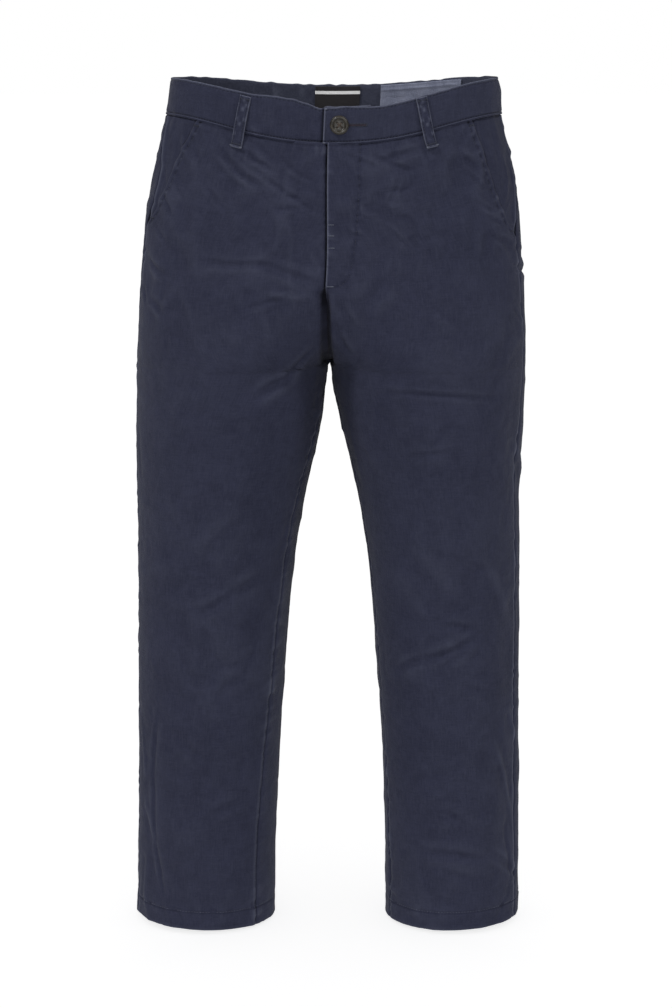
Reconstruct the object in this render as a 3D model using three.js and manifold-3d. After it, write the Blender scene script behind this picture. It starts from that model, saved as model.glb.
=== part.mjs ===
// Chino trousers, filled out and hollow, as separate sewn pieces. Sizes are in millimetres.
// +Z is up, -Y is the front and +X is the wearer's left. The origin is the centre of the waist opening,
// level with the top edge of the waistband at the sides.
import * as THREE from "three";
import { mergeVertices } from "three/addons/utils/BufferGeometryUtils.js";
import Module from "manifold-3d";

const wasm = await Module();
wasm.setup();

// Driving dimensions
const OUTSEAM = 922; // waist edge to hem at the side
const RISE = 298; // waist edge at the side down to the fork of the legs
const SEAM_GAP = 0.3; // free space between two sewn pieces
const WALL = 1.2; // cloth wall of the panels
const HEM_TURN = 22; // height of the turned-up hem
const HEM_WALL = 2.2; // wall where the hem is doubled
const BAND_HEIGHT = 38;
const BAND_WALL = 2.4;
const BAND_PROUD = 0.4; // how far the waistband's face stands out from the panels
const BAND_ROLL = 0.7; // rounding of the waistband's long edges
const FRONT_DIP = 27; // how far the waist edge dips at the centre front
const BACK_DIP = 10; // and at the centre back
const DIP_FADE = 230; // depth below the waist at which the dip has died away
const FLY_LAP = 7; // the fly edge lies this far past the centre, on the wearer's right
const FLY_END = 205; // depth of the fly's lower end
const FLY_MERGE = 238; // depth at which the lapped edge has run into the centre seam
const BAND_LAP = 12; // the waistband's front end lies this far past the centre
const UNDERLAP = 36; // the waistband's covered end reaches this far under the lap
const STEP_FAR = 34; // distances from the lap's end at which the covered end starts to step in
const STEP_NEAR = 12; // and has stepped in
const SHIELD_REACH = 32; // the fly shield's reach to the wearer's left of the centre
const SHIELD_ROOT = 14; // and to the right
const LAYER_GAP = 0.7; // free space between two layers that lie on each other
const BEARER_UNDER = 9; // the pocket bearer's reach under the pocket mouth
const BEARER_SIDE = 4; // and under the back panel at the side seam
const LOOP_WIDTH = 12;
const LOOP_HEIGHT = 53;
const LOOP_WALL = 1.7;
const LOOP_BOW = 2; // how far a loop stands off the waistband at its middle
const BUTTON_DIAMETER = 19;
const BUTTON_THICK = 3.6;
const BUTTON_SIDE = 4; // the button's place to the wearer's left of the centre
const BUTTON_DROP = 19; // and below the waist edge, along the waistband
const BUTTON_HOLE = 1.9; // diameter of a thread hole
const BUTTON_PITCH = 2.3; // from the button's centre to each thread hole, along two axes
const LABEL_WIDTH = 49;
const LABEL_SHIFT = 2; // the label's centre lies this far to the wearer's left
const LABEL_TOP = 2.5;
const LABEL_BOTTOM = 34;
const PATCH_BOTTOM = 33;
const TRIM_WALL = 1; // wall of the label and the patch

// Horizontal sections of the two legs. A section is an oval from its inner to its outer edge, both
// measured from the centre line, with a half-depth to the front and one to the back. Above the fork
// the inner edge is negative: the two ovals cross and are trimmed at the centre line.
// lean moves the centre line sideways and square is the oval's exponent, 2 for an ellipse.
const SECTIONS = table(
  ["z", "outerRight", "innerRight", "outerLeft", "innerLeft", "front", "back", "lean", "square"],
  [
    [0, 172, -172, 172, -172, 84, 96, 0, 2.3],
    [-38, 176, -176, 174, -174, 87, 99, -1.5, 2.3],
    [-70, 182.5, -182.5, 183, -183, 90, 105, -2.2, 2.3],
    [-103, 189.5, -189.5, 191.5, -191.5, 93, 113, -3.2, 2.3],
    [-136, 195, -195, 197.5, -197.5, 97, 120, -4.5, 2.28],
    [-180, 199, -176, 202, -178, 100, 126, -6.5, 2.25],
    [-205, 201, -131, 205, -133, 101, 128, -7.8, 2.23],
    [-225, 202, -91, 206.5, -93, 102, 127, -8.4, 2.2],
    [-245, 203, -57, 207.5, -58, 103, 125, -8.4, 2.18],
    [-262, 204, -35, 208.5, -36, 103, 122, -8, 2.16],
    [-277, 204.5, -18.5, 209, -19, 103, 119, -7.6, 2.14],
    [-288, 205, -7.5, 209.2, -7.7, 102.5, 117, -7.2, 2.13],
    [-298, 205, 0, 209.2, 0, 102, 115, -7, 2.12],
    [-324, 205.6, 3.7, 208.8, 3.8, 100, 110, -7, 2.1],
    [-360, 207.2, 8.4, 208.2, 11.4, 97, 104, -7, 2.08],
    [-394, 207.9, 14.8, 206.6, 19.8, 93.5, 99, -7, 2.06],
    [-430, 207.6, 23, 205.2, 27.6, 90, 94, -7, 2.05],
    [-500, 207.9, 35.6, 206.2, 39.4, 83, 86, -6.8, 2.04],
    [-580, 209.4, 44.8, 207.4, 47.6, 77, 79, -6.7, 2.03],
    [-682, 211.4, 52.4, 208.2, 54.8, 71, 73, -6.6, 2.02],
    [-756, 212.7, 57, 209.2, 58.8, 68, 70, -6.5, 2.02],
    [-840, 214.4, 60.8, 210.6, 61.6, 65.5, 67, -6.5, 2.01],
    [-922, 215.8, 62.4, 211.9, 62.9, 64, 65, -6.5, 2],
  ],
);

// Angles of the seams on a section, in degrees from the outer edge towards the front. The inseams are
// counted from the inner edge towards the front.
const SEAMS = table(
  ["z", "sideRight", "sideLeft", "inRight", "inLeft"],
  [
    [0, 8, 4, 0, 0],
    [-38, 10, 4, 0, 0],
    [-95, 17, 6, 0, 0],
    [-130, 16, 11, 0, 0],
    [-160, 11, 15, 0, 0],
    [-220, 9, 16, 0, 0],
    [-298, 10, 18, 0, 0],
    [-350, 10, 21, 15, 9],
    [-430, 10, 24, 25, 14],
    [-540, 10, 24, 30, 14],
    [-650, 11, 24, 34, 14],
    [-755, 12, 24, 39, 17],
    [-840, 12, 24, 42, 20],
    [-922, 12, 24, 42, 18],
  ],
);

// The slant pocket mouths, as angles on the section, each down to the side seam.
const MOUTHS = table(
  ["z", "right", "left"],
  [
    [-38, 39, 38],
    [-76, 31.5, 35],
    [-114, 26, 31],
    [-138, 20, 26.5],
    [-152, 12.5, 22],
    [-165, 10.5, 14.9],
  ],
);
const MOUTH_END = { right: -152, left: -165 };

// The largest folds: each runs from one angle and depth to another, with the depth of its trough
// (below zero for a ridge) and its width.
const FOLDS = table(
  ["side", "angle0", "z0", "angle1", "z1", "trough", "width"],
  [
    ["right", 43, -690, 36, -790, 2.2, 13],
    ["right", 36, -790, 50, -893, 2, 12],
    ["right", 66, -720, 62, -880, -1.8, 22],
    ["right", 8, -178, 30, -210, 2.4, 11],
    ["right", 75, -205, 112, -268, 2.2, 14],
    ["right", 84, -330, 128, -292, 2, 16],
    ["right", 118, -600, 150, -560, 1.6, 16],
    ["right", -55, -566, -125, -590, 3, 17],
    ["right", -60, -618, -120, -640, 2.4, 15],
    ["right", -62, -318, -128, -300, 3, 18],
    ["right", -100, -842, -150, -868, 2, 15],
    ["left", 34, -352, 18, -452, 2.4, 13],
    ["left", 40, -560, 30, -700, 2.2, 13],
    ["left", 30, -700, 40, -872, 2.4, 13],
    ["left", 132, -598, 84, -626, 2.4, 13],
    ["left", 64, -720, 70, -870, -1.6, 22],
    ["left", 107, -322, 44, -328, 1.6, 12],
    ["left", 76, -214, 110, -272, 2, 14],
    ["left", -52, -584, -118, -562, 3, 17],
    ["left", -64, -640, -126, -622, 2.2, 15],
    ["left", -64, -306, -126, -326, 3, 18],
    ["left", -40, -846, -96, -866, 2, 15],
  ],
);

// Belt loops: their side, the angle of their upper end, and how far their lower end leans out.
const LOOPS = table(
  ["name", "side", "angle", "lean"],
  [
    ["front_right", "right", 61.3, 5.2],
    ["front_left", "left", 63.3, 11.6],
    ["side_right", "right", -42, 2],
    ["side_left", "left", -42, 2],
    ["back", "left", -90, 0],
  ],
);

const COLORS = { twill: 0x2b303f, horn: 0x4a4638, label: 0x1b1b1f, chambray: 0x77809c };

// Tables and curves

function table(columns, rows) {
  return rows.map((row) => Object.fromEntries(columns.map((name, i) => [name, row[i]])));
}

// A smooth curve through one column of a table, against its z column, which falls from row to row.
function curve(rows, column) {
  const slopes = rows.map((row, i) => {
    const before = rows[Math.max(i - 1, 0)];
    const after = rows[Math.min(i + 1, rows.length - 1)];
    return (after[column] - before[column]) / (after.z - before.z);
  });
  return (z) => {
    const clamped = THREE.MathUtils.clamp(z, rows.at(-1).z, rows[0].z);
    let i = 0;
    while (i < rows.length - 2 && rows[i + 1].z >= clamped) i += 1;
    const step = rows[i + 1].z - rows[i].z;
    const t = (clamped - rows[i].z) / step;
    const rise = rows[i + 1][column] - rows[i][column];
    const bend0 = slopes[i] * step - rise;
    const bend1 = rise - slopes[i + 1] * step;
    return rows[i][column] + t * rise + t * (1 - t) * ((1 - t) * bend0 + t * bend1);
  };
}

const radians = THREE.MathUtils.degToRad;
const smooth = (x, low, high) => THREE.MathUtils.smoothstep(x, low, high);
const power = (value, exponent) => Math.sign(value) * Math.abs(value) ** exponent;
const spread = (from, to, steps) =>
  Array.from({ length: steps + 1 }, (_, i) => from + ((to - from) * i) / steps);

const shape = {
  front: curve(SECTIONS, "front"),
  back: curve(SECTIONS, "back"),
  lean: curve(SECTIONS, "lean"),
  square: curve(SECTIONS, "square"),
};
const sides = {
  right: {
    name: "right",
    sign: -1,
    outer: curve(SECTIONS, "outerRight"),
    inner: curve(SECTIONS, "innerRight"),
    sideSeam: curve(SEAMS, "sideRight"),
    inseam: curve(SEAMS, "inRight"),
    mouth: curve(MOUTHS, "right"),
  },
  left: {
    name: "left",
    sign: 1,
    outer: curve(SECTIONS, "outerLeft"),
    inner: curve(SECTIONS, "innerLeft"),
    sideSeam: curve(SEAMS, "sideLeft"),
    inseam: curve(SEAMS, "inLeft"),
    mouth: curve(MOUTHS, "left"),
  },
};

// The garment's skin

// The oval of one leg at a height: its middle and half-width from the centre line, and its exponent.
function oval(side, z) {
  const outer = side.outer(z);
  const inner = side.inner(z);
  return { middle: (outer + inner) / 2, half: (outer - inner) / 2, square: shape.square(z) };
}

// The angle on the oval at which it reaches a given distance from the centre line.
function angleAt(side, z, distance, facing) {
  const { middle, half, square } = oval(side, z);
  const across = THREE.MathUtils.clamp((distance - middle) / half, -1, 1);
  return facing * Math.acos(power(across, square / 2));
}

// Depth of the folds at a place: each is a trough with soft sides, fading out towards its two ends.
function foldDepth(side, angle, z) {
  const girth = oval(side, z).half;
  let depth = 0;
  for (const fold of FOLDS) {
    if (fold.side !== side.name) continue;
    const start = radians(fold.angle0);
    let offset = angle - start;
    offset -= 2 * Math.PI * Math.round(offset / (2 * Math.PI));
    const runAcross = radians(fold.angle1 - fold.angle0) * girth;
    const runDown = fold.z1 - fold.z0;
    const length = Math.hypot(runAcross, runDown);
    const along = (offset * girth * runAcross + (z - fold.z0) * runDown) / length;
    const aside = (offset * girth * runDown - (z - fold.z0) * runAcross) / length;
    const t = along / length;
    if (t <= 0 || t >= 1) continue;
    depth += fold.trough * Math.sin(Math.PI * t) * Math.exp(-((aside / fold.width) ** 2));
  }
  return depth;
}

// A point of the skin, at an angle from the outer edge towards the front and at a height before the
// dip of the waist is added.
function skin(side, angle, z) {
  const { middle, half, square } = oval(side, z);
  const across = Math.cos(angle);
  const ahead = Math.sin(angle);
  const depth = ahead > 0 ? shape.front(z) : shape.back(z);
  const normalX = power(across, 2 - 2 / square) / half;
  const normalY = -power(ahead, 2 - 2 / square) / depth;
  const fold = foldDepth(side, angle, z) / Math.hypot(normalX, normalY);
  const x = middle + half * power(across, 2 / square) - fold * normalX + SEAM_GAP / 2;
  const y = -depth * power(ahead, 2 / square) - fold * normalY;
  const dip = (ahead > 0 ? FRONT_DIP : BACK_DIP) * ahead ** 4 * smooth(z, -DIP_FADE, -60);
  return new THREE.Vector3(side.sign * x + shape.lean(z), y, z - dip);
}

// The same point moved out along the skin's normal, or in for a negative offset.
function point(side, angle, z, offset) {
  const step = 1e-3;
  const top = Math.min(z + 0.5, 0);
  const around = skin(side, angle + step, z).sub(skin(side, angle - step, z));
  const down = skin(side, angle, top - 1).sub(skin(side, angle, top));
  const normal = around.cross(down).normalize().multiplyScalar(side.sign);
  return skin(side, angle, z).addScaledVector(normal, offset);
}

// A small distance along the skin as an angle.
function turn(side, angle, z, distance) {
  const step = 1e-3;
  const speed = skin(side, angle + step, z).distanceTo(skin(side, angle - step, z)) / (2 * step);
  return distance / speed;
}

// Solids

// A closed geometry whose faces point out.
function closed(vertices, faces) {
  const box = (a, b, c) => vertices[a].dot(new THREE.Vector3().crossVectors(vertices[b], vertices[c]));
  let volume = 0;
  for (let i = 0; i < faces.length; i += 3) volume += box(faces[i], faces[i + 1], faces[i + 2]);
  const geometry = new THREE.BufferGeometry().setFromPoints(vertices);
  geometry.setIndex(volume < 0 ? faces.reverse() : faces);
  return geometry;
}

// A wall between an outer and an inner sheet, each a function of a column and a row number.
function wall(columns, rows, outer, inner) {
  const vertices = [];
  for (const sheet of [outer, inner])
    for (let r = 0; r <= rows; r += 1) for (let c = 0; c <= columns; c += 1) vertices.push(sheet(c, r));
  const width = columns + 1;
  const layer = width * (rows + 1);
  const faces = [];
  const quad = (a, b, c, d) => faces.push(a, b, c, a, c, d);
  for (let r = 0; r < rows; r += 1)
    for (let c = 0; c < columns; c += 1) {
      const i = r * width + c;
      quad(i, i + 1, i + 1 + width, i + width);
      quad(i + layer, i + width + layer, i + 1 + width + layer, i + 1 + layer);
    }
  const rim = [
    ...spread(0, columns - 1, columns - 1),
    ...spread(0, rows - 1, rows - 1).map((r) => r * width + columns),
    ...spread(0, columns - 1, columns - 1).map((c) => rows * width + columns - c),
    ...spread(0, rows - 1, rows - 1).map((r) => (rows - r) * width),
  ];
  rim.forEach((a, i) => {
    const b = rim[(i + 1) % rim.length];
    quad(b, a, a + layer, b + layer);
  });
  return closed(vertices, faces);
}

// A piece of cloth on the skin: its heights from top to bottom, its two side edges as functions of
// the height, and its outer face and wall as functions of the place.
function cloth(side, heights, columns, edges, face, thick) {
  const place = (inward) => (c, r) => {
    const z = heights[r];
    const [from, to] = edges(z);
    const angle = from + ((to - from) * c) / columns;
    return point(side, angle, z, face(angle, z, r) - inward * thick(z, r));
  };
  return wall(columns, heights.length - 1, place(0), place(1));
}

function mesh(name, geometry, color, roughness = 0.9) {
  const material = new THREE.MeshStandardMaterial({ color, roughness, metalness: 0 });
  const made = new THREE.Mesh(geometry, material);
  made.name = name;
  return made;
}

// Legs

const FRONT_COLUMNS = 18;
const BACK_COLUMNS = 14;
const panelTop = -BAND_HEIGHT - SEAM_GAP;
const hemTop = HEM_TURN - OUTSEAM;
const panelHeights = [
  ...spread(panelTop, -200, 9),
  ...spread(-212, -RISE, 8),
  ...spread(-310, -400, 5),
  ...spread(-428, hemTop + 0.4, 14),
  hemTop - 0.4,
  -OUTSEAM,
];
const panelWall = (z) => (z < hemTop ? HEM_WALL : WALL);

// How far past the centre line the left front laps over, towards the wearer's right.
const flyLap = (z) => FLY_LAP * smooth(z, -FLY_MERGE, -FLY_END);

function frontEdges(side) {
  return (z) => {
    const cut = z > MOUTH_END[side.name] ? side.mouth(z) : side.sideSeam(z);
    const outer = Math.max(radians(cut), radians(side.sideSeam(z)));
    const inner =
      z >= -RISE ? angleAt(side, z, -side.sign * flyLap(z), 1) : Math.PI - radians(side.inseam(z));
    const slack = z >= -RISE ? 0 : turn(side, inner, z, SEAM_GAP / 2);
    return [outer + turn(side, outer, z, SEAM_GAP / 2), inner - slack];
  };
}

function backEdges(side) {
  return (z) => {
    const outer = radians(side.sideSeam(z));
    const inner = z >= -RISE ? angleAt(side, z, 0, -1) : -Math.PI - radians(side.inseam(z));
    const slack = z >= -RISE ? 0 : turn(side, inner, z, SEAM_GAP / 2);
    return [outer - turn(side, outer, z, SEAM_GAP / 2), inner + slack];
  };
}

function frontPanel(side) {
  return cloth(side, panelHeights, FRONT_COLUMNS, frontEdges(side), () => 0, panelWall);
}

function backPanel(side) {
  return cloth(side, panelHeights, BACK_COLUMNS, backEdges(side), () => 0, panelWall);
}

function pocketBearer(side) {
  const heights = spread(panelTop, MOUTH_END[side.name] - 8, 8);
  const edges = (z) => {
    const seam = radians(side.sideSeam(z));
    const lip = Math.max(radians(side.mouth(z)), seam);
    return [seam - turn(side, seam, z, BEARER_SIDE), lip + turn(side, lip, z, BEARER_UNDER)];
  };
  return cloth(side, heights, 5, edges, () => -WALL - LAYER_GAP, () => WALL);
}

function flyShield() {
  const side = sides.left;
  const edges = (z) => [angleAt(side, z, SHIELD_REACH, 1), angleAt(side, z, -SHIELD_ROOT, 1)];
  return cloth(side, spread(panelTop, -FLY_END + 8, 8), 5, edges, () => -WALL - LAYER_GAP, () => WALL);
}

// Waistband

const bandHeights = [0, -1.2, -BAND_HEIGHT / 2, 1.2 - BAND_HEIGHT, -BAND_HEIGHT];
const rolled = (z, r) => (r === 0 || r === bandHeights.length - 1 ? BAND_ROLL : 0);
const bandWall = (z, r) => BAND_WALL - 2 * rolled(z, r);

// The left half ends square on the lap. The right half steps in before it and runs on beneath.
function waistband(side) {
  const reach = side.name === "left" ? BAND_LAP : UNDERLAP;
  const edges = (z) => [angleAt(side, z, -reach, 1), angleAt(side, z, 0, -1)];
  const under = BAND_WALL + LAYER_GAP;
  const face = (angle, z, r) => {
    const across = skin(side, angle, z).x - shape.lean(z);
    const stepsIn = side.name === "right" && angle > 0;
    const covered = stepsIn ? smooth(across, -BAND_LAP - STEP_FAR, -BAND_LAP - STEP_NEAR) : 0;
    return BAND_PROUD - rolled(z, r) - under * covered;
  };
  return cloth(side, bandHeights, 40, edges, face, bandWall);
}

// A strap over the waistband, fixed at both ends and standing off it in the middle.
function beltLoop({ side: sideName, angle, lean }) {
  const side = sides[sideName];
  const heights = spread(-1.5, -1.5 - LOOP_HEIGHT, 8);
  const edges = (z) => {
    const centre = radians(angle) - turn(side, radians(angle), z, (lean * -z) / LOOP_HEIGHT);
    const half = turn(side, centre, z, LOOP_WIDTH / 2);
    return [centre - half, centre + half];
  };
  const bow = (z) => LOOP_BOW * Math.sin((Math.PI * (heights[0] - z)) / LOOP_HEIGHT) ** 2;
  const face = (_, z) => BAND_PROUD + LAYER_GAP / 2 + LOOP_WALL + bow(z);
  return cloth(side, heights, 3, edges, face, () => LOOP_WALL);
}

// A piece on the inside of the back waistband, between two distances from the centre line.
function insideTrim(from, to, top, bottom, columns) {
  const side = sides.left;
  const edges = (z) => [angleAt(side, z, from, -1), angleAt(side, z, to, -1)];
  const face = () => BAND_PROUD - BAND_WALL - LAYER_GAP;
  return cloth(side, spread(-top, -bottom, 3), columns, edges, face, () => TRIM_WALL);
}

// Button

// A merged mesh as a solid that can be cut.
function solid(geometry) {
  const bare = geometry.clone();
  bare.deleteAttribute("normal");
  bare.deleteAttribute("uv");
  const merged = mergeVertices(bare, 1e-4);
  return new wasm.Manifold(
    new wasm.Mesh({
      numProp: 3,
      vertProperties: new Float32Array(merged.attributes.position.array),
      triVerts: new Uint32Array(merged.index.array),
    }),
  );
}

function button() {
  const radius = BUTTON_DIAMETER / 2;
  const rim = radius * 0.72;
  const profile = [
    [0, 0],
    [radius * 0.8, 0],
    [radius, BUTTON_THICK * 0.45],
    [radius * 0.97, BUTTON_THICK * 0.8],
    [radius * 0.88, BUTTON_THICK],
    [rim, BUTTON_THICK * 0.8],
    [rim * 0.85, BUTTON_THICK * 0.58],
    [0, BUTTON_THICK * 0.5],
  ].map(([x, y]) => new THREE.Vector2(x, y));
  let body = solid(new THREE.LatheGeometry(profile, 28));
  for (const x of [-BUTTON_PITCH, BUTTON_PITCH])
    for (const z of [-BUTTON_PITCH, BUTTON_PITCH]) {
      const drill = new THREE.CylinderGeometry(BUTTON_HOLE / 2, BUTTON_HOLE / 2, 3 * BUTTON_THICK, 8);
      drill.translate(x, 0, z);
      body = body.subtract(solid(drill));
    }
  const made = body.getMesh();
  const geometry = new THREE.BufferGeometry();
  geometry.setAttribute("position", new THREE.BufferAttribute(made.vertProperties, 3));
  geometry.setIndex(new THREE.BufferAttribute(made.triVerts, 1));
  return geometry;
}

// The button's own axis is turned to the waistband's normal, where it lies on the lap.
function seatButton(placed) {
  const side = sides.left;
  const angle = angleAt(side, -BUTTON_DROP, BUTTON_SIDE, 1);
  const seat = point(side, angle, -BUTTON_DROP, BAND_PROUD + LAYER_GAP / 2);
  const out = point(side, angle, -BUTTON_DROP, 10).sub(point(side, angle, -BUTTON_DROP, 0));
  placed.position.copy(seat);
  placed.quaternion.setFromUnitVectors(new THREE.Vector3(0, 1, 0), out.normalize());
  return placed;
}

// Assembly

const trousers = new THREE.Group();
for (const side of Object.values(sides)) {
  trousers.add(
    mesh(`front_${side.name}`, frontPanel(side), COLORS.twill),
    mesh(`back_${side.name}`, backPanel(side), COLORS.twill),
    mesh(`pocket_bearer_${side.name}`, pocketBearer(side), COLORS.twill),
    mesh(`waistband_${side.name}`, waistband(side), COLORS.twill),
  );
}
trousers.add(mesh("fly_shield", flyShield(), COLORS.twill));
for (const loop of LOOPS) trousers.add(mesh(`belt_loop_${loop.name}`, beltLoop(loop), COLORS.twill));
trousers.add(seatButton(mesh("waist_button", button(), COLORS.horn, 0.4)));
const labelEdges = [LABEL_SHIFT + LABEL_WIDTH / 2, LABEL_SHIFT - LABEL_WIDTH / 2];
trousers.add(
  mesh("waist_label", insideTrim(...labelEdges, LABEL_TOP, LABEL_BOTTOM, 6), COLORS.label),
  mesh("waist_patch", insideTrim(136, 49, 1.5, PATCH_BOTTOM, 12), COLORS.chambray),
);

export default trousers;
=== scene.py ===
# %% [markdown]
# # A pair of chino trousers, sewn from numbers
# The trousers are filled out and hollow, as if an unseen wearer stood in them: two fronts, two
# backs, a waistband that laps over itself, slant pockets, a fly, five belt loops and one button.
# The CAD model fixes where every piece lies. Here each piece is worked out again as a finer
# surface on the same skin, and gets its creases, stitches and cloth.

# %% Load the fixed frame
from math import pi

import bpy
import numpy as np
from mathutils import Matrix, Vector


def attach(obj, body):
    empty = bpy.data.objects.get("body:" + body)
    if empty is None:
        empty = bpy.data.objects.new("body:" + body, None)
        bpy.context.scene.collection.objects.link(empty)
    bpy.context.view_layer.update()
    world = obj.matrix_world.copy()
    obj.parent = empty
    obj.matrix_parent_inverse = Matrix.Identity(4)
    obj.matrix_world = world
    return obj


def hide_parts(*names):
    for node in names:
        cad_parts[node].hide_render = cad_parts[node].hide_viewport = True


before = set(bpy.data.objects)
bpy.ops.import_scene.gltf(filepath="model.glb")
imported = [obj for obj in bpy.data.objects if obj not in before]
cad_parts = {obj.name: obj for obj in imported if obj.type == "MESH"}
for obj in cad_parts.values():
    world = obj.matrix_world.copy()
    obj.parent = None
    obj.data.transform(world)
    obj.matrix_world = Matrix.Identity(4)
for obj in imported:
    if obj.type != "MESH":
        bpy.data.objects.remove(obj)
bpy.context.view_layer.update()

MM = 0.001  # the tables are in millimetres and Blender's unit is the metre

# %% [markdown]
# ## The skin of the trousers
# Every piece of the garment lies on one skin. A leg is a stack of ovals, each with an outer and
# an inner edge, a depth to the front and one to the back. It could be lofted through drawn rings,
# but a table of sections and one formula keep each piece exactly on its CAD solid, at any
# fineness.

# %% Tables of the skin, in millimetres and degrees
OUTSEAM, RISE = 922, 298
FRONT_DIP, BACK_DIP, DIP_FADE = 27, 10, 230
BAND_HEIGHT, BAND_WALL, BAND_PROUD = 38, 2.4, 0.4
FLY_LAP, FLY_END, FLY_MERGE = 7, 205, 238
BAND_LAP, UNDERLAP, STEP_FAR, STEP_NEAR = 12, 36, 34, 12
LAYER_GAP = 0.7
HEM_SLANT = 1.9
CLOTH = 0.95  # thickness of one layer of twill

SECTION_COLUMNS = ("z", "outer_right", "inner_right", "outer_left", "inner_left",
                   "front", "back", "lean", "square")
SECTIONS = [
    (0, 172, -172, 172, -172, 84, 96, 0, 2.3),
    (-38, 176, -176, 174, -174, 87, 99, -1.5, 2.3),
    (-70, 182.5, -182.5, 183, -183, 90, 105, -2.2, 2.3),
    (-103, 189.5, -189.5, 191.5, -191.5, 93, 113, -3.2, 2.3),
    (-136, 195, -195, 197.5, -197.5, 97, 120, -4.5, 2.28),
    (-180, 197.5, -176, 203, -178, 100, 126, -6.5, 2.25),
    (-205, 198.2, -131, 206.6, -133, 101, 128, -7.8, 2.23),
    (-225, 199.2, -91, 208.2, -93, 102, 127, -8.4, 2.2),
    (-245, 200.2, -57, 209.2, -58, 103, 125, -8.4, 2.18),
    (-262, 201.6, -35, 209.9, -36, 103, 122, -8, 2.16),
    (-277, 202.9, -18.5, 209.9, -19, 103, 119, -7.6, 2.14),
    (-288, 204, -7.5, 209.6, -7.7, 102.5, 117, -7.2, 2.13),
    (-298, 205, 0, 209.2, 0, 102, 115, -7, 2.12),
    (-324, 205.6, 3.7, 208.8, 3.8, 100, 110, -7, 2.1),
    (-360, 207.2, 8.4, 208.2, 11.4, 97, 104, -7, 2.08),
    (-394, 207.9, 14.8, 206.6, 19.8, 93.5, 99, -7, 2.06),
    (-430, 207.6, 23, 205.2, 27.6, 90, 94, -7, 2.05),
    (-500, 207.9, 35.6, 206.2, 39.4, 83, 86, -6.8, 2.04),
    (-580, 209.4, 44.8, 207.4, 47.6, 77, 79, -6.7, 2.03),
    (-682, 211.4, 52.4, 208.2, 54.8, 71, 73, -6.6, 2.02),
    (-756, 212.7, 57, 209.2, 58.8, 68, 70, -6.5, 2.02),
    (-840, 214.4, 60.8, 210.6, 61.6, 65.5, 67, -6.5, 2.01),
    (-922, 215.8, 62.4, 211.9, 62.9, 64, 65, -6.5, 2),
]

SEAM_COLUMNS = ("z", "side_right", "side_left", "in_right", "in_left")
SEAMS = [
    (0, 8, 4, 0, 0),
    (-38, 10, 4, 0, 0),
    (-95, 17, 6, 0, 0),
    (-130, 16, 11, 0, 0),
    (-160, 11, 15, 0, 0),
    (-220, 9, 16, 0, 0),
    (-298, 10, 18, 0, 0),
    (-350, 10, 21, 15, 9),
    (-430, 10, 24, 25, 14),
    (-540, 10, 24, 30, 14),
    (-650, 11, 24, 34, 14),
    (-755, 12, 24, 39, 17),
    (-840, 12, 24, 42, 20),
    (-922, 12, 24, 42, 18),
]

MOUTH_COLUMNS = ("z", "right", "left")
MOUTHS = [
    (-38, 39, 38),
    (-76, 31.5, 35),
    (-114, 26, 31),
    (-138, 20, 26.5),
    (-152, 12.5, 22),
    (-165, 10.5, 14.9),
]
MOUTH_END = {"right": -152, "left": -165}


def curve(columns, rows, name):
    """A smooth curve through one column of a table against z: cubic pieces that meet with the
    same slope, where the slope at a row is that of the line between its two neighbours."""
    zs = np.array([row[0] for row in rows], float)[::-1]
    vs = np.array([row[columns.index(name)] for row in rows], float)[::-1]
    before = np.maximum(np.arange(len(zs)) - 1, 0)
    after = np.minimum(np.arange(len(zs)) + 1, len(zs) - 1)
    slope = (vs[after] - vs[before]) / (zs[after] - zs[before])

    def at(z):
        z = np.clip(z, zs[0], zs[-1])
        i = np.clip(np.searchsorted(zs, z, side="right") - 1, 0, len(zs) - 2)
        step, rise = zs[i + 1] - zs[i], vs[i + 1] - vs[i]
        t = (z - zs[i]) / step
        bend = (1 - t) * (slope[i] * step - rise) + t * (rise - slope[i + 1] * step)
        return vs[i] + t * rise + t * (1 - t) * bend

    return at


section = {name: curve(SECTION_COLUMNS, SECTIONS, name) for name in SECTION_COLUMNS[1:]}
seam = {name: curve(SEAM_COLUMNS, SEAMS, name) for name in SEAM_COLUMNS[1:]}
mouth = {name: curve(MOUTH_COLUMNS, MOUTHS, name) for name in MOUTH_COLUMNS[1:]}
SIGN = {"right": -1, "left": 1}


def smooth(x, low, high):
    """0 below low, 1 above high, and between them t squared times (3 - 2t)."""
    t = np.clip((x - low) / (high - low), 0, 1)
    return t * t * (3 - 2 * t)


def bell(x, width):
    """A bell curve, 1 at zero: e to the power of minus the square of x over the width."""
    return np.exp(-((x / width) ** 2))


def power(value, exponent):
    """The absolute value to a power, with the sign kept."""
    return np.sign(value) * np.abs(value) ** exponent


def oval(side, z):
    """The middle and half-width of a leg's oval at a height."""
    outer, inner = section["outer_" + side](z), section["inner_" + side](z)
    return (outer + inner) / 2, (outer - inner) / 2


def skin(side, angle, z):
    """A point of the skin: across is the middle plus the half-width times the cosine to the
    power 2/n, ahead is the depth times the sine to the power 2/n, the waist dips towards the
    centre with the fourth power of the sine, and the hem towards the inseam with the cosine.
    Returns mm, last axis x, y, z."""
    angle, z = np.broadcast_arrays(np.asarray(angle, float), np.asarray(z, float))
    middle, half = oval(side, z)
    bend = 2 / section["square"](z)
    cos, sin = np.cos(angle), np.sin(angle)
    depth = np.where(sin > 0, section["front"](z), section["back"](z))
    x = middle + half * power(cos, bend) + 0.15
    dip = np.where(sin > 0, FRONT_DIP, BACK_DIP) * sin**4 * smooth(z, -DIP_FADE, -60)
    dip = dip + HEM_SLANT * (0.4 - cos) * smooth(-z, 850, OUTSEAM)
    return np.stack([SIGN[side] * x + section["lean"](z), -depth * power(sin, bend), z - dip], -1)


def unit(v):
    """Vectors scaled to length 1."""
    return v / np.maximum(np.linalg.norm(v, axis=-1, keepdims=True), 1e-12)


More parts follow.
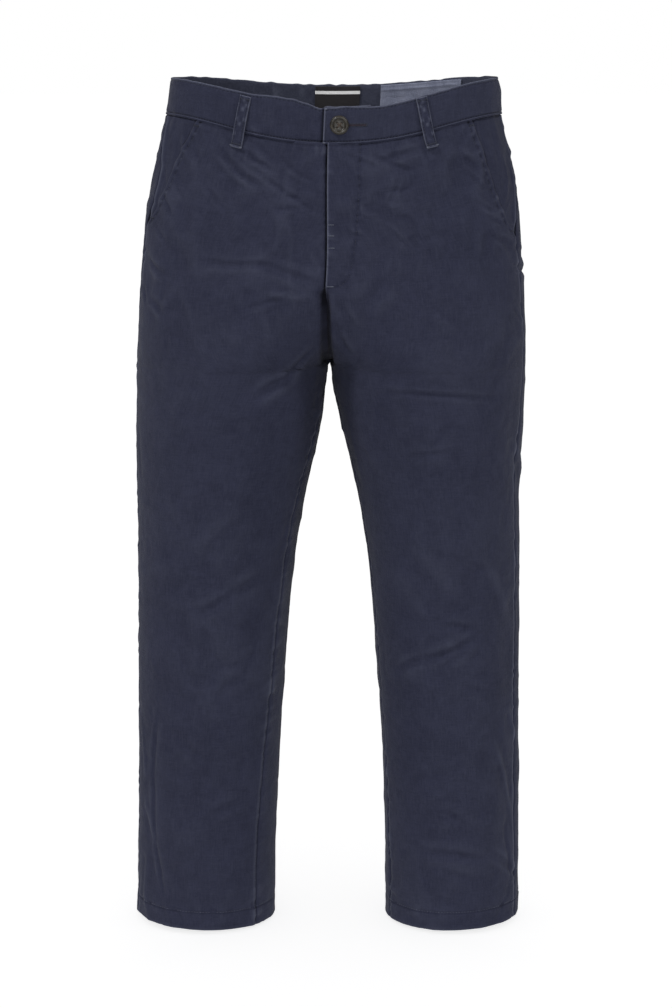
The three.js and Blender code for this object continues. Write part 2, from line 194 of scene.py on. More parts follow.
def outward(side, angle, z):
    """The skin's normal: the cross product of its directions round the leg and down."""
    top = np.minimum(z + 0.5, 0)
    around = skin(side, angle + 1e-3, z) - skin(side, angle - 1e-3, z)
    down = skin(side, angle, top - 1) - skin(side, angle, top)
    return unit(np.cross(around, down)) * SIGN[side]


def speed(side, angle, z):
    """Millimetres along the skin for each radian of angle."""
    step = skin(side, angle + 1e-3, z) - skin(side, angle - 1e-3, z)
    return np.linalg.norm(step, axis=-1) / 2e-3


def angle_at(side, z, distance, facing):
    """The angle at which the oval is a given distance from the centre line, to the front (1) or
    to the back (-1): the inverse cosine of that place across the oval."""
    middle, half = oval(side, z)
    across = np.clip((distance - middle) / half, -1, 1)
    return facing * np.arccos(power(across, section["square"](z) / 2))


hips = skin("left", np.radians([0.0, 90.0]), np.full(2, -205.0))
print("hip half-width and depth, mm:", hips[0, 0].round(1), (-hips[1, 1]).round(1))

# %% [markdown]
# ## Creases
# Washed cotton twill never lies quite smooth. It breaks at the crotch, behind the knees and above
# the hem, and it draws up beside every line of stitches. Sculpting or a cloth simulation could
# give that, but each crease here is one row of a table: a soft trough with a low roll beside it,
# placed where the garment shows it. Smaller crumples come from smooth random heights on a
# lattice.

# %% Tables of folds and creases
FOLDS = [  # the largest, which the CAD panels have as well: the columns below, without the bow
    ("right", 43, -690, 36, -790, 2.2, 13),
    ("right", 36, -790, 50, -893, 2, 12),
    ("right", 66, -720, 62, -880, -1.8, 22),
    ("right", 8, -178, 30, -210, 2.4, 11),
    ("right", 75, -205, 112, -268, 2.2, 14),
    ("right", 84, -330, 128, -292, 2, 16),
    ("right", 118, -600, 150, -560, 1.6, 16),
    ("right", -55, -566, -125, -590, 3, 17),
    ("right", -60, -618, -120, -640, 2.4, 15),
    ("right", -62, -318, -128, -300, 3, 18),
    ("right", -100, -842, -150, -868, 2, 15),
    ("left", 34, -352, 18, -452, 2.4, 13),
    ("left", 40, -560, 30, -700, 2.2, 13),
    ("left", 30, -700, 40, -872, 2.4, 13),
    ("left", 132, -598, 84, -626, 2.4, 13),
    ("left", 64, -720, 70, -870, -1.6, 22),
    ("left", 107, -322, 44, -328, 1.6, 12),
    ("left", 76, -214, 110, -272, 2, 14),
    ("left", -52, -584, -118, -562, 3, 17),
    ("left", -64, -640, -126, -622, 2.2, 15),
    ("left", -64, -306, -126, -326, 3, 18),
    ("left", -40, -846, -96, -866, 2, 15),
]

CREASE_COLUMNS = ("side", "angle0", "z0", "angle1", "z1", "depth", "width", "bow")
CREASES = [  # finer ones, with a crisp trough
    ("right", 51, -56, 70, -88, 0.7, 3.2, 2),
    ("right", 58, -76, 68, -88, 0.5, 2.6, -1),
    ("right", 64, -40, 75, -62, 0.6, 3, 1),
    ("right", 40, -60, 46, -84, 0.4, 3, 0),
    ("right", 50, -181, 78, -180, 0.5, 3.6, 3),
    ("right", 70, -178, 103, -216, 0.6, 3.8, -3),
    ("right", 82, -212, 99, -222, -0.4, 4, 0),
    ("right", 80, -231, 92, -219, 0.4, 3, 1),
    ("right", 56, -48, 76, -70, 0.5, 2.2, 1.5),
    ("right", 66, -70, 80, -96, 0.5, 2.2, -1.5),
    ("right", 74, -52, 86, -78, 0.45, 2, 1),
    ("right", 78, -88, 88, -116, 0.5, 2.2, 1),
    ("right", 47, -96, 60, -126, 0.4, 2.4, -1),
    ("right", 30, -98, 42, -120, 0.5, 2.2, 1),
    ("right", 27, -120, 38, -146, 0.5, 2.2, -1),
    ("right", 22, -146, 34, -168, 0.55, 2.4, 1),
    ("right", 14, -196, 20, -228, 0.5, 2.4, 1),
    ("right", 86, -150, 93, -188, 0.5, 2.2, 1.5),
    ("right", 90, -232, 102, -262, 0.5, 2.4, -1),
    ("right", 18, -185, 36, -200, 1, 3.2, 2),
    ("right", 25, -226, 41, -241, 0.9, 3.2, -2),
    ("right", 12, -210, 22, -232, 0.7, 3, 0),
    ("right", 106, -325, 127, -306, 1, 4.6, -3),
    ("right", 124, -312, 131, -270, 0.9, 4.2, 3),
    ("right", 110, -452, 84, -502, 0.7, 6.5, 4),
    ("right", 130, -520, 101, -541, 0.8, 5, 2),
    ("right", 105, -538, 77, -561, 0.8, 5, -2),
    ("right", 48, -676, 39, -752, 1.1, 3, 2),
    ("right", 39, -744, 43, -815, 1.2, 3, -2),
    ("right", 42, -800, 56, -890, 1.1, 3, 2),
    ("right", 27, -776, 49, -842, -0.8, 3.6, -2),
    ("right", 22, -700, 30, -760, -0.6, 3.4, 1),
    ("right", 66, -697, 89, -728, 0.5, 5, 2),
    ("right", 92, -792, 125, -774, 0.5, 4.6, -2),
    ("right", 100, -640, 128, -622, 0.45, 5, 2),
    ("right", 58, -420, 72, -450, 0.4, 6, 0),
    ("right", 18, -360, 24, -430, 0.5, 4, 1),
    ("right", -30, -214, -66, -262, 1, 5, -4),
    ("right", -58, -280, -112, -262, 0.9, 5, 5),
    ("right", -72, -548, -116, -562, 0.9, 4, 3),
    ("right", -48, -596, -108, -604, 1, 4, -3),
    ("right", -66, -655, -104, -668, 0.7, 4, 2),
    ("right", -128, -700, -150, -760, 0.6, 4, 0),
    ("right", -40, -800, -52, -880, 0.8, 4, 2),
    ("right", -84, -820, -130, -850, 0.7, 4, 3),
    ("left", 24, -192, -6, -208, 1, 3.2, 2),
    ("left", 88, -48, 78, -66, 0.5, 2.2, 1),
    ("left", 80, -50, 66, -74, 0.45, 2.2, -1.5),
    ("left", 72, -72, 76, -108, 0.4, 2.2, 1),
    ("left", 46, -86, 38, -112, 0.5, 2.4, 1),
    ("left", 44, -118, 34, -134, 0.5, 2.2, -1),
    ("left", 40, -136, 28, -150, 0.5, 2.2, 1),
    ("left", 34, -160, 20, -172, 0.5, 2.4, 1),
    ("left", 77, -128, 70, -164, 0.4, 2.4, -1),
    ("left", 74, -168, 80, -196, 0.4, 2.2, 1),
    ("left", 30, -232, 18, -256, 0.5, 2.4, 1),
    ("left", 20, -172, 2, -184, 0.7, 3, -1),
    ("left", 78, -57, 62, -53, 0.6, 3, 1),
    ("left", 50, -62, 40, -90, 0.5, 3.4, 0),
    ("left", 104, -218, 112, -246, 0.8, 3.4, 0),
    ("left", 122, -250, 131, -282, 0.9, 3.6, -2),
    ("left", 82, -196, 100, -232, 0.6, 4, 3),
    ("left", 117, -318, 45, -328, 0.55, 2.4, 2),
    ("left", 109, -387, 80, -381, 0.5, 3.6, 0),
    ("left", 34, -372, -7, -441, -1, 4.6, 4),
    ("left", 28, -392, 4, -452, 0.8, 3.6, 3),
    ("left", 64, -492, 28, -602, -0.6, 8, 3),
    ("left", 124, -494, 96, -554, 0.8, 10, 3),
    ("left", 94, -572, 70, -578, 0.7, 4, 1),
    ("left", 136, -630, 110, -610, 1, 4, 2),
    ("left", 114, -613, 70, -586, 1.2, 4.2, -3),
    ("left", 96, -620, 75, -600, 0.8, 3.6, 2),
    ("left", 80, -640, 60, -652, 0.5, 4, 0),
    ("left", 122, -833, 60, -843, 0.8, 5, 3),
    ("left", 104, -783, 75, -804, 0.6, 5, 1),
    ("left", 56, -700, 26, -818, -0.9, 3.6, 3),
    ("left", 35, -670, 20, -720, -0.9, 3.4, -1),
    ("left", 64, -830, 14, -886, 1.1, 3.4, 4),
    ("left", 40, -800, 30, -870, 0.8, 3.2, -2),
    ("left", 100, -856, 70, -868, 0.5, 4, 2),
    ("left", -28, -220, -70, -256, 1, 5, 4),
    ("left", -60, -272, -118, -286, 0.9, 5, -4),
    ("left", -60, -560, -108, -548, 0.9, 4, -3),
    ("left", -50, -606, -112, -600, 1, 4, 3),
    ("left", -70, -662, -118, -648, 0.7, 4, 2),
    ("left", -130, -716, -146, -772, 0.6, 4, 1),
    ("left", -34, -790, -50, -874, 0.8, 4, -2),
    ("left", -90, -830, -126, -842, 0.7, 4, -3),
]


def run(side, angle, z, row):
    """Where a place lies beside a crease's line, on the skin laid flat: how far along it as a
    share of its length, and how far aside in mm."""
    names = dict(zip(CREASE_COLUMNS, row))
    _, half = oval(side, z)
    offset = angle - np.radians(names["angle0"])
    offset = (offset - 2 * pi * np.round(offset / (2 * pi))) * half
    across = np.radians(names["angle1"] - names["angle0"]) * half
    fall = names["z1"] - names["z0"]
    length = np.hypot(across, fall)
    drop = z - names["z0"]
    return (offset * across + drop * fall) / length**2, (offset * fall - drop * across) / length


def folds(side, angle, z):
    """Height of the large folds: minus the depth, times half a sine wave along the line, times
    a bell curve across it."""
    height = np.zeros(np.broadcast(angle, z).shape)
    for row in FOLDS:
        if row[0] != side:
            continue
        t, aside = run(side, angle, z, row)
        depth, width = row[5:]
        arch = np.sin(pi * np.clip(t, 0, 1))
        height -= np.where((t > 0) & (t < 1), depth * arch * bell(aside, width), 0)
    return height


def creases(side, angle, z):
    """Height of the finer creases: a bell-shaped trough with two lower rolls beside it, bowed
    sideways by half a sine wave, and fading to its ends."""
    height = np.zeros(np.broadcast(angle, z).shape)
    for row in CREASES:
        if row[0] != side:
            continue
        t, aside = run(side, angle, z, row)
        depth, width, bow = row[5:]
        arch = np.sin(pi * np.clip(t, 0, 1))
        q = (aside - bow * arch) / width
        profile = -np.exp(-(q**2)) + 0.5 * bell(q - 1.8, 1.2)
        profile += 0.35 * bell(q + 1.9, 1.3)
        height += depth * arch**0.7 * profile
    return height


lattice = np.random.default_rng(11).uniform(-1, 1, (61, 61, 61))


def lumps(points, size):
    """Smooth random heights from -1 to 1: random values on a lattice of the given size in mm,
    blended between the eight corners round a point with smooth steps."""
    p = points / np.asarray(size, float)
    low = np.floor(p).astype(int)
    f = p - low
    f = f * f * (3 - 2 * f)
    total = np.zeros(p.shape[:-1])
    for i in (0, 1):
        for j in (0, 1):
            for k in (0, 1):
                near = (low + (i, j, k)) % 61
                weight = np.where(np.array((i, j, k)) == 1, f, 1 - f).prod(-1)
                total += weight * lattice[near[..., 0], near[..., 1], near[..., 2]]
    return total


def plane_lumps(across, along, pattern):
    """Lumps of size 1 over a plane, where the third number only picks the pattern."""
    return lumps(np.stack(np.broadcast_arrays(across, along, pattern), -1), 1)


RUMPLES = [  # lattice across and down in mm, sharpness, height
    (27, 40, 0.20, 1.5),
    (18, 25, 0.24, -1.2),
    (12, 15, 0.32, 0.8),
]


def crumple(side, angle, z):
    """Height of the small crumples of washed cotton. Lumps cross zero along a net of winding
    lines, and a bell curve of their value raises a ridge, or sinks a trough, along those lines.
    Three such nets are added to soft lumps, stronger in patches and near waist, knee and hem."""
    p = skin(side, angle, z)
    shift = np.stack([lumps(p + 200 + 40 * i, (34, 34, 46)) for i in range(3)], -1)
    warped = p + shift * (10, 10, 15)
    busy = 0.6 + 0.8 * bell(z + 120, 110) + 0.15 * bell(z + 590, 90)
    busy = busy + 0.35 * smooth(-z, 800, OUTSEAM)
    height = 0.5 * lumps(p + 900, (60, 60, 85)) + 0.3 * lumps(p, (21, 21, 29))
    for i, (across, down, sharp, rise) in enumerate(RUMPLES):
        net = lumps(warped + 300 * (i + 1), (across, across, down))
        patch = np.clip(0.45 + 0.9 * lumps(p + 170 * i, (40, 40, 52)), 0, 1)
        height += rise * busy * patch * (bell(net, sharp) - 0.4)
    return height


print(len(FOLDS), "folds and", len(CREASES), "creases")

# %% [markdown]
# ## Puckers beside the stitches
# A row of stitches shortens the cloth a little, so a seam draws up in short waves, and washing
# wears their tops pale. The waves could be modelled one by one, but a random height that changes
# quickly along the seam and slowly across it gives the same uneven beat on both sides of the
# line.

# %% Puckers, seam valleys and the lines they follow
FLY_STITCH = [  # distance from the centre line, and height
    (26.2, -38), (25.9, -60), (25.6, -100), (25.4, -126.5), (24.6, -155), (22.9, -177),
    (20.5, -193.2), (17.6, -200), (13.9, -204.3), (7, -207), (0.7, -208.1), (-6.5, -209),
]
HEM_STITCH = 21.5 - OUTSEAM
MOUTH_STITCH = 5.5  # from the pocket's edge
HOLLOW_WIDTH = {"right": 7.4, "left": 3.6}  # each way from the centre seam, below the fly's end
PUCKER_GAIN = 1.4
WAIST_SEAM = -BAND_HEIGHT


def pucker(along, aside, pitch, reach, depth, seed):
    """Height of a row of puckers: lumps about one pitch long along the seam and three reaches
    wide across it, under a bell curve of the distance from the seam."""
    slant = along / pitch + 0.3 * aside / pitch
    strength = 0.65 + 0.5 * plane_lumps(along / 45, 0.0, seed + 7.7)
    waves = plane_lumps(slant, aside / (2.5 * reach), seed + 0.37)
    return depth * PUCKER_GAIN * strength * bell(aside, reach) * waves


def fly_lap(z):
    """How far the left front laps past the centre: ever less down to the fly's end, then none."""
    return (FLY_LAP - 4.2 * smooth(-z, 60, 200)) * smooth(z, -FLY_MERGE, -FLY_END)


def seam_distances(side, angle, z):
    """Distances in mm from the side seam, the inseam (or the centre seam above the fork), and
    the pocket mouth. Positive is towards the front panel's middle."""
    rate = speed(side, angle, z)
    beside = (angle - np.radians(seam["side_" + side](z))) * rate
    inner = np.pi - np.radians(seam["in_" + side](z))
    gap = inner - angle
    gap -= 2 * pi * np.round(gap / (2 * pi))
    centre = (skin(side, angle, z)[..., 0] - section["lean"](z)) * SIGN[side]
    front = np.sin(angle) > 0
    centre = np.where(front, centre + SIGN[side] * fly_lap(z), centre)
    within = np.where(z >= -RISE, centre, gap * rate)
    lip = (angle - np.radians(mouth[side](z))) * rate
    return beside, within, lip


def off_path(x, z, path):
    """Signed distance from a drawn line and the length along it, for the nearest of its pieces."""
    path = np.array(path, float)
    best = np.full(x.shape, 1e9)
    along = np.zeros(x.shape)
    start = 0.0
    for a, b in zip(path[:-1], path[1:]):
        leg = b - a
        size = np.hypot(*leg)
        t = np.clip(((x - a[0]) * leg[0] + (z - a[1]) * leg[1]) / size**2, 0, 1)
        dx, dz = x - a[0] - t * leg[0], z - a[1] - t * leg[1]
        distance = np.hypot(dx, dz) * np.where(dx * leg[1] - dz * leg[0] > 0, 1, -1)
        nearer = np.abs(distance) < np.abs(best)
        best = np.where(nearer, distance, best)
        along = np.where(nearer, start + t * size, along)
        start += size
    return best, along


def dressing(side, angle, z):
    """Two arrays for each place of a panel: the height of all its relief above the skin in mm,
    and how pale the cloth is there, from -1 in dark seams and painted shade to 1 on worn ridges."""
    angle, z = np.broadcast_arrays(np.asarray(angle, float), np.asarray(z, float))
    flat = skin(side, angle, z)
    beside, within, lip = seam_distances(side, angle, z)
    front, legs, open_mouth = np.sin(angle) > 0, z < -RISE, z > MOUTH_END[side]
    turn = angle * speed(side, angle, z)
    from_hem, from_waist = z - HEM_STITCH, z - WAIST_SEAM
    key = 3 if side == "left" else 11

    drawn = pucker(z, beside, 5.2, 9, 0.8, key) * np.where(z < MOUTH_END[side], 1, 0.7)
    drawn += pucker(z, within, 5.0, 9, np.where(legs, 1.4, 1.0), key + 3)
    drawn = drawn + pucker(turn, from_hem, 5.5, 9, 0.7, key + 5)
    drawn = drawn + pucker(turn, from_waist, 6, 9, 0.9, key + 9)
    drawn = drawn + pucker(z, lip - 3, 5.0, 7, 1.2, key + 13) * (open_mouth & (lip > -1))
    drawn = drawn * smooth(-from_waist, -0.5, 2.5)
    pits = 0 * z
    if side == "left":
        aside, along = off_path(flat[..., 0] - section["lean"](z), z, FLY_STITCH)
        on_fly = front & (z > -250)
        drawn += np.where(on_fly, pucker(along, aside, 5.2, 7, 0.8, 31), 0)
        pits = np.where(on_fly, 0.65 + 0.35 * np.cos(2 * pi * along / 8.7), 0) * bell(aside, 1.4)
        drawn = drawn - 1.2 * pits

    beat = 0.5 + 0.5 * np.cos(2 * pi * z / 9.3 + 2 * plane_lumps(z / 30, 0.0, 0.0))
    groove = -0.6 * bell(from_hem, 0.9)
    groove -= np.where(open_mouth, (0.35 + 0.75 * beat) * bell(lip - MOUTH_STITCH, 1.3), 0)
    groove -= np.where(legs, 0.3 * bell(within - 2.2, 0.8), 0)
    padded = np.where(open_mouth, 0.45 * smooth(6.5 - lip, 0, 2) * (lip > -1), 0)
    padded += 0.3 * bell(beside + 5, 4.5) + 0.3 * bell(np.abs(within) - 5, 4)
    padded += 0.25 * smooth(-from_hem, 0, 2)

    wide = HOLLOW_WIDTH[side]
    hollow = smooth(-z, 206, 218) * np.exp(-np.abs(within / wide) ** 4)
    hollow = hollow * smooth(z, -RISE - 50, -RISE) * front
    fork = 3.0 * smooth(-z, 222, 285) * bell(within, 6) * (~front) * (z > -RISE)
    fork = 5.0 * hollow + fork
    calm = np.where(z > -RISE, 1 - bell(within, 9), 1)
    calm = calm * smooth(-from_waist, -1, 14)
    fine = (2.6 - 0.9 * smooth(-z, 320, 420)) * creases(side, angle, z)
    valley = 0.9 * bell(np.minimum(from_waist, 0), 1.6)
    rough = crumple(side, angle, z) * calm
    height = folds(side, angle, z) * calm + fine * calm - valley
    height += rough + drawn + groove + padded - fork

    wear_and_shading = 0.42 * bell(beside - 2, 1.8) - 0.6 * bell(beside, 0.7)
    wear_and_shading += (0.2 * bell(within - 3.6, 1.4) - 0.4 * bell(within, 0.8)) * legs
    # painted shade in dimples that come and go along the pocket's stitch row
    stitched = (0.7 * beat - 0.2) * bell(lip - MOUTH_STITCH, 1.2)
    wear_and_shading += (0.15 * bell(lip, 1.2) - stitched) * open_mouth
    wear_and_shading += 0.5 * smooth(-z, OUTSEAM - 3, OUTSEAM - 0.5) - 0.4 * bell(from_hem + 1.2, 0.8)
    wear_and_shading += 0.26 * np.maximum(drawn, 0) + 0.14 * np.maximum(fine, 0)
    # crumple ridges pale with wear and their troughs darken as painted shade;
    # the fly's stitch pits, the crotch hollow and a line just under the waistband seam are painted
    # shade
    wear_and_shading += 0.055 * rough - 0.4 * pits - 0.65 * hollow - 0.42 * bell(from_waist + 1.2, 1.0)
    return height, np.clip(wear_and_shading, -1, 1)


def dressed(side, angle, z, lift=0.0):
    """Points of the finished surface in mm: the skin, moved out along its normal by the relief
    and a lift."""
    height, _ = dressing(side, angle, z)
    return skin(side, angle, z) + outward(side, angle, z) * (height + lift)[..., None]


test = dressing("left", np.radians(90.0) * np.ones(400), np.linspace(-60, -900, 400))[0]
print("relief down the left front: %.2f to %.2f mm" % (test.min(), test.max()))

# %% [markdown]
# ## From arrays to pieces
# A surface is an array of points, rows by columns. The corners of its faces are the same four
# numbers shifted along the grid, so the whole face list comes from index arithmetic. The cloth's
# own measure, in metres along the rows and down the columns, is kept as its UV map for the weave.

# %% Build meshes from grids
def grid_faces(rows, columns, closed=False):
    """Quads of a grid: each corner, the next in its row, that one's lower neighbour and its own."""
    last = columns if closed else columns - 1
    r, c = np.meshgrid(np.arange(rows - 1), np.arange(last), indexing="ij")
    right = (c + 1) % columns
    here, below = r * columns, (r + 1) * columns
    quads = np.stack([here + c, here + right, below + right, below + c], -1)
    return quads.reshape(-1, 4)


def tube_faces(rows, ring, side):
    """Quads and two end caps of a closed profile carried along, facing out on either side."""
    faces = grid_faces(rows, ring, closed=True)
    caps = [list(range(ring)), list(range((rows - 1) * ring, rows * ring))]
    if side == "left":
        caps[0].reverse()
    else:
        faces = faces[:, ::-1]
        caps[1].reverse()
    return faces, caps


def make_piece(name, points, faces, uv=None, wear_and_shading=None, caps=()):
    """An object at the origin from points in mm, with a UV map and wear and painted shade at its
    points.
    """
    mesh = bpy.data.meshes.new(name)
    all_faces = faces.tolist() + [list(cap) for cap in caps]
    mesh.from_pydata((points.reshape(-1, 3) * MM).tolist(), [], all_faces)
    if uv is not None:
        corners = np.empty(len(mesh.loops), int)
        mesh.loops.foreach_get("vertex_index", corners)
        layer = mesh.uv_layers.new(name="cloth")
        layer.data.foreach_set("uv", (uv.reshape(-1, 2) * MM)[corners].astype(np.float32).ravel())
    if wear_and_shading is not None:
        layer = mesh.attributes.new("wear_and_shading", "FLOAT", "POINT")
        layer.data.foreach_set("value", wear_and_shading.astype(np.float32).ravel())
    mesh.polygons.foreach_set("use_smooth", np.ones(len(mesh.polygons), bool))
    mesh.update()
    made = bpy.data.objects.new(name, mesh)
    bpy.context.collection.objects.link(made)
    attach(made, "root")
    return made


def thicken(piece, mm):
    """A wall behind the surface: the Solidify modifier moves a copy in by the given thickness."""
    wall = piece.modifiers.new("wall", "SOLIDIFY")
    wall.thickness, wall.offset, wall.use_rim = mm * MM, -1, True
    return piece


def lengths(points):
    """Distance along each row of points from its first one."""
    steps = np.linalg.norm(np.diff(points, axis=-2), axis=-1)
    return np.concatenate([np.zeros((*steps.shape[:-1], 1)), np.cumsum(steps, -1)], -1)


def widths(points):
    """Distance along each row of points, from its middle column."""
    along = lengths(points)
    return along - along[:, along.shape[1] // 2, None]


def area(points):
    """Area of a grid of points in square metres, from the cross products of its cells' sides."""
    a = points[:-1, 1:] - points[:-1, :-1]
    b = points[1:, :-1] - points[:-1, :-1]
    return float(np.linalg.norm(np.cross(a, b), axis=-1).sum()) * MM * MM


def spaced(side, z, start, end, distances):
    """Angles between two edges at given shares of the way, measured along the skin."""
    t = np.linspace(0, 1, 121)
    angle = start[:, None] + (end - start)[:, None] * t
    along = lengths(skin(side, angle, z[:, None]))
    return np.array([np.interp(d, a, b) for d, a, b in zip(distances(along[:, -1]), along, angle)])


def edge_close(total, middle):
    """Distances from the first edge: eight columns close to each edge, and even ones between."""
    near = np.array([0, 0.5, 1.2, 2.3, 3.5, 4.5, 5.5, 6.6])
    inside = np.linspace(0, 1, middle + 2)[1:-1]
    width = total[:, None]
    return np.concatenate([near + 0 * width, 6.6 + (width - 13.2) * inside, width - near[::-1]], 1)


# %% [markdown]
# ## Fronts and backs
# Each leg is sewn from a front and a back, cut full length from waist to hem. A tube per leg
# would be less work, but then seams would be only lines painted on it. As four panels, each edge
# rolls into the seam, the fly's left edge laps over the right, and the hem is truly turned up
# inside.

# %% Cut the four leg panels
HEM_ROLL = 1.05  # radius of the fold at the hem
CENTRE_GAP = 0.13  # each way between the edges that meet at the centre


def front_edges(side, z):
    """Angles of a front's two edges: the pocket mouth above the side seam, and the fly edge
    above the inseam."""
    cut = np.where(z > MOUTH_END[side], mouth[side](z), seam["side_" + side](z))
    outer = np.radians(np.maximum(cut, seam["side_" + side](z)))
    under = 4.5 * smooth(z, -FLY_MERGE, -FLY_END) if side == "right" else 0
    above = angle_at(side, z, -SIGN[side] * fly_lap(z) - under, 1)
    below = pi - np.radians(seam["in_" + side](z))
    return outer, np.where(z >= -RISE, above, below)


def back_edges(side, z):
    """Angles of a back's two edges: the side seam, and the centre back seam above the inseam."""
    below = -pi - np.radians(seam["in_" + side](z))
    above = angle_at(side, z, 0, -1)
    return np.radians(seam["side_" + side](z)), np.where(z >= -RISE, above, below)


def panel(name, side, edges, facing):
    """One leg panel: rows of skin points between its edges, raised by the dressing, rolled in at
    both edges, and turned up at the hem round a half circle."""
    top = [-36.5, -37.6, -38.2, -38.8, -39.6, -40.6]
    stitched = HEM_STITCH + np.array([2.6, 1.5, 0.7, 0, -0.7, -1.5, -2.6])
    body = np.concatenate([top, np.linspace(-42, -296, 118),
                           np.linspace(-298, HEM_STITCH + 4.5, 278), stitched,
                           np.linspace(-905.5, -919.5, 7)])
    fold = np.radians(np.linspace(0, 180, 7))
    up = np.linspace(-920, -OUTSEAM + 23, 9)
    z = np.concatenate([body, -920.5 - np.sin(fold), up])
    inward = np.concatenate([0 * body, HEM_ROLL * (1 - np.cos(fold)), 2 * HEM_ROLL + 0 * up])
    start, end = edges(side, z)
    angle = spaced(side, z, start, end, lambda total: edge_close(total, 78))
    rows = z[:, None] + 0 * angle
    height, wear_and_shading = dressing(side, angle, rows)
    flat = skin(side, angle, rows)
    along = widths(flat)
    from_start, from_end = along - along[:, :1], along[:, -1:] - along
    roll = 0.75 * bell(from_start, 0.8) + 0.75 * bell(from_end, 0.8)
    lapped = smooth(rows, -FLY_MERGE, -FLY_END) * (facing == "front")
    if side == "left":
        height += lapped * 0.7 * smooth(-from_end, -12, -3)
        wear_and_shading = np.clip(wear_and_shading + lapped * 0.9 * bell(from_end, 1.2), -1, 1)
    else:
        height -= lapped * 2.8 * smooth(-from_end, -8.5, -5.2)
        # painted shadow: the right front is darker where it runs under the left front's lap
        wear_and_shading = np.clip(wear_and_shading - lapped * 0.8 * smooth(-from_end, -6.8, -5.2), -1, 1)
    turned = np.arange(len(z)) >= len(body)
    height = np.where(turned[:, None], height[len(body) - 1], height)
    lift = height - roll - inward[:, None]
    points = flat + outward(side, angle, rows) * lift[..., None]
    meet = flat[:, -1, 0] - SIGN[side] * CENTRE_GAP - points[:, -1, 0]
    meet = np.where(z >= -RISE, meet, 0)[:, None] * bell(from_end, 5)
    points[..., 0] += meet
    down = lengths(points[:, 40])
    uv = np.stack([along, -down[:, None] + 0 * along], -1)
    faces = grid_faces(*angle.shape)
    if (side == "left") != (facing == "front"):
        faces = faces[:, ::-1]
    piece = make_piece(name, points, faces, uv, wear_and_shading)
    thicken(piece, CLOTH)
    cut = (float((along[:, -1] - along[:, 0]).max()) * MM, float(down[-1]) * MM)
    cloth = area(flat[: len(body)]) + cut[0] * 0.5 * 0.024
    print("%s: %d points, cut %.3f by %.3f m, %.4f square m"
          % (name, points[..., 0].size, *cut, cloth))
    return piece, cut, cloth


panels = {}
for side in ("right", "left"):
    for facing, edges in (("front", front_edges), ("back", back_edges)):
        piece, cut, cloth = panel(f"{facing}_{side}_cloth", side, edges, facing)
        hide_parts(f"{facing}_{side}")
        panels[facing, side] = piece

# %% [markdown]
# ## What shows behind the openings
# A slant pocket shows a second piece of the same twill behind its mouth, the bearer, and the fly
# has a shield behind its closed edges. Each could be a flat card, but both follow the body, so
# they are strips of the same skin. The bearer starts in the side seam and dives under the
# pocket's edge.

# %% Cut the pocket bearers and the fly shield
BEARER_DEPTH, SHIELD_DEPTH = 2.55, 4.8  # below the skin


def strip(name, side, z, start, end, columns, lift, flip, shade):
    """A strip of the skin between two angles at each height, at a lift given as an array, and
    darker by the shade at its last edge."""
    t = np.linspace(0, 1, columns)
    angle = start[:, None] + (end - start)[:, None] * t
    rows = z[:, None] + 0 * angle
    flat = skin(side, angle, rows)
    raised = lift(angle, rows) + crumple(side, angle, rows)
    points = flat + outward(side, angle, rows) * raised[..., None]
    along = widths(points)
    uv = np.stack([along, rows], -1)
    faces = grid_faces(*angle.shape)
    piece = make_piece(name, points, faces[:, ::-1] if flip else faces, uv, shade(angle, rows))
    thicken(piece, CLOTH)
    size = (float((along[:, -1] - along[:, 0]).max()) * MM, float(np.ptp(z)) * MM)
    return piece, size, min(area(points), size[0] * size[1])


for side in ("right", "left"):
    z = np.linspace(-38.6, MOUTH_END[side] - 8, 60)
    edge = np.radians(seam["side_" + side](z))
    lip_angle = np.maximum(np.radians(mouth[side](z)), edge)
    reach = lip_angle + 9 / speed(side, lip_angle, z)

    def sink(angle, rows, side=side):
        """Level with the back panel at the side seam, and a layer deeper before the mouth."""
        beside, _, lip = seam_distances(side, angle, rows)
        closing = smooth(-rows, -MOUTH_END[side] - 22, -MOUTH_END[side] - 4)
        level = -0.15 - 0.75 * bell(beside, 0.8) - 2.4 * smooth(beside, 1.5, 7)
        level -= closing * (BEARER_DEPTH + level) * (level > -BEARER_DEPTH)
        return level + 0.25 * pucker(rows, beside, 5.2, 8, 1, 5)

    def shade(angle, rows, side=side):
        """Painted shadow under the pocket's edge, and pale wear beside the side seam."""
        beside, _, lip = seam_distances(side, angle, rows)
        return 0.4 * bell(beside - 2, 1.8) - 1.0 * smooth(lip, -3.2, -0.6)

    piece, size, cloth = strip(f"pocket_bearer_{side}_cloth", side, z, edge, reach, 34, sink,
                               side == "right", shade)
    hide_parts(f"pocket_bearer_{side}")
    panels["bearer", side] = piece
    print("pocket bearer", side, [round(v, 3) for v in size], "m")

z = np.linspace(-38.6, 8 - FLY_END, 60)
ends = angle_at("left", z, 32, 1), angle_at("left", z, -14, 1)
# painted shade: the whole shield takes the darkest navy, for the shade behind the fly
piece, size, cloth = strip("fly_shield_cloth", "left", z, *ends, 20,
                           lambda angle, rows: -SHIELD_DEPTH + 0 * rows, False,
                           lambda angle, rows: -1 + 0 * rows)
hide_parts("fly_shield")
panels["shield", "left"] = piece
print("fly shield", [round(v, 3) for v in size], "m")

# %% [markdown]
# ## Waistband
# The waistband is a doubled strip with rolled edges, sewn on at its lower edge. A plain ring with
# a bevel would miss the lap at the front and the gathered edge at the back. So its closed profile
# is carried round the waist: a puffed outer face between two stitch lines, a half circle over the
# top, a plain inner face, and a half circle below.

# %% Carry the waistband's profile round the waist
BAND_STITCH = (-2.6, 3.0 - BAND_HEIGHT)  # heights of its two rows of stitches
BAND_ROLL = 1.15


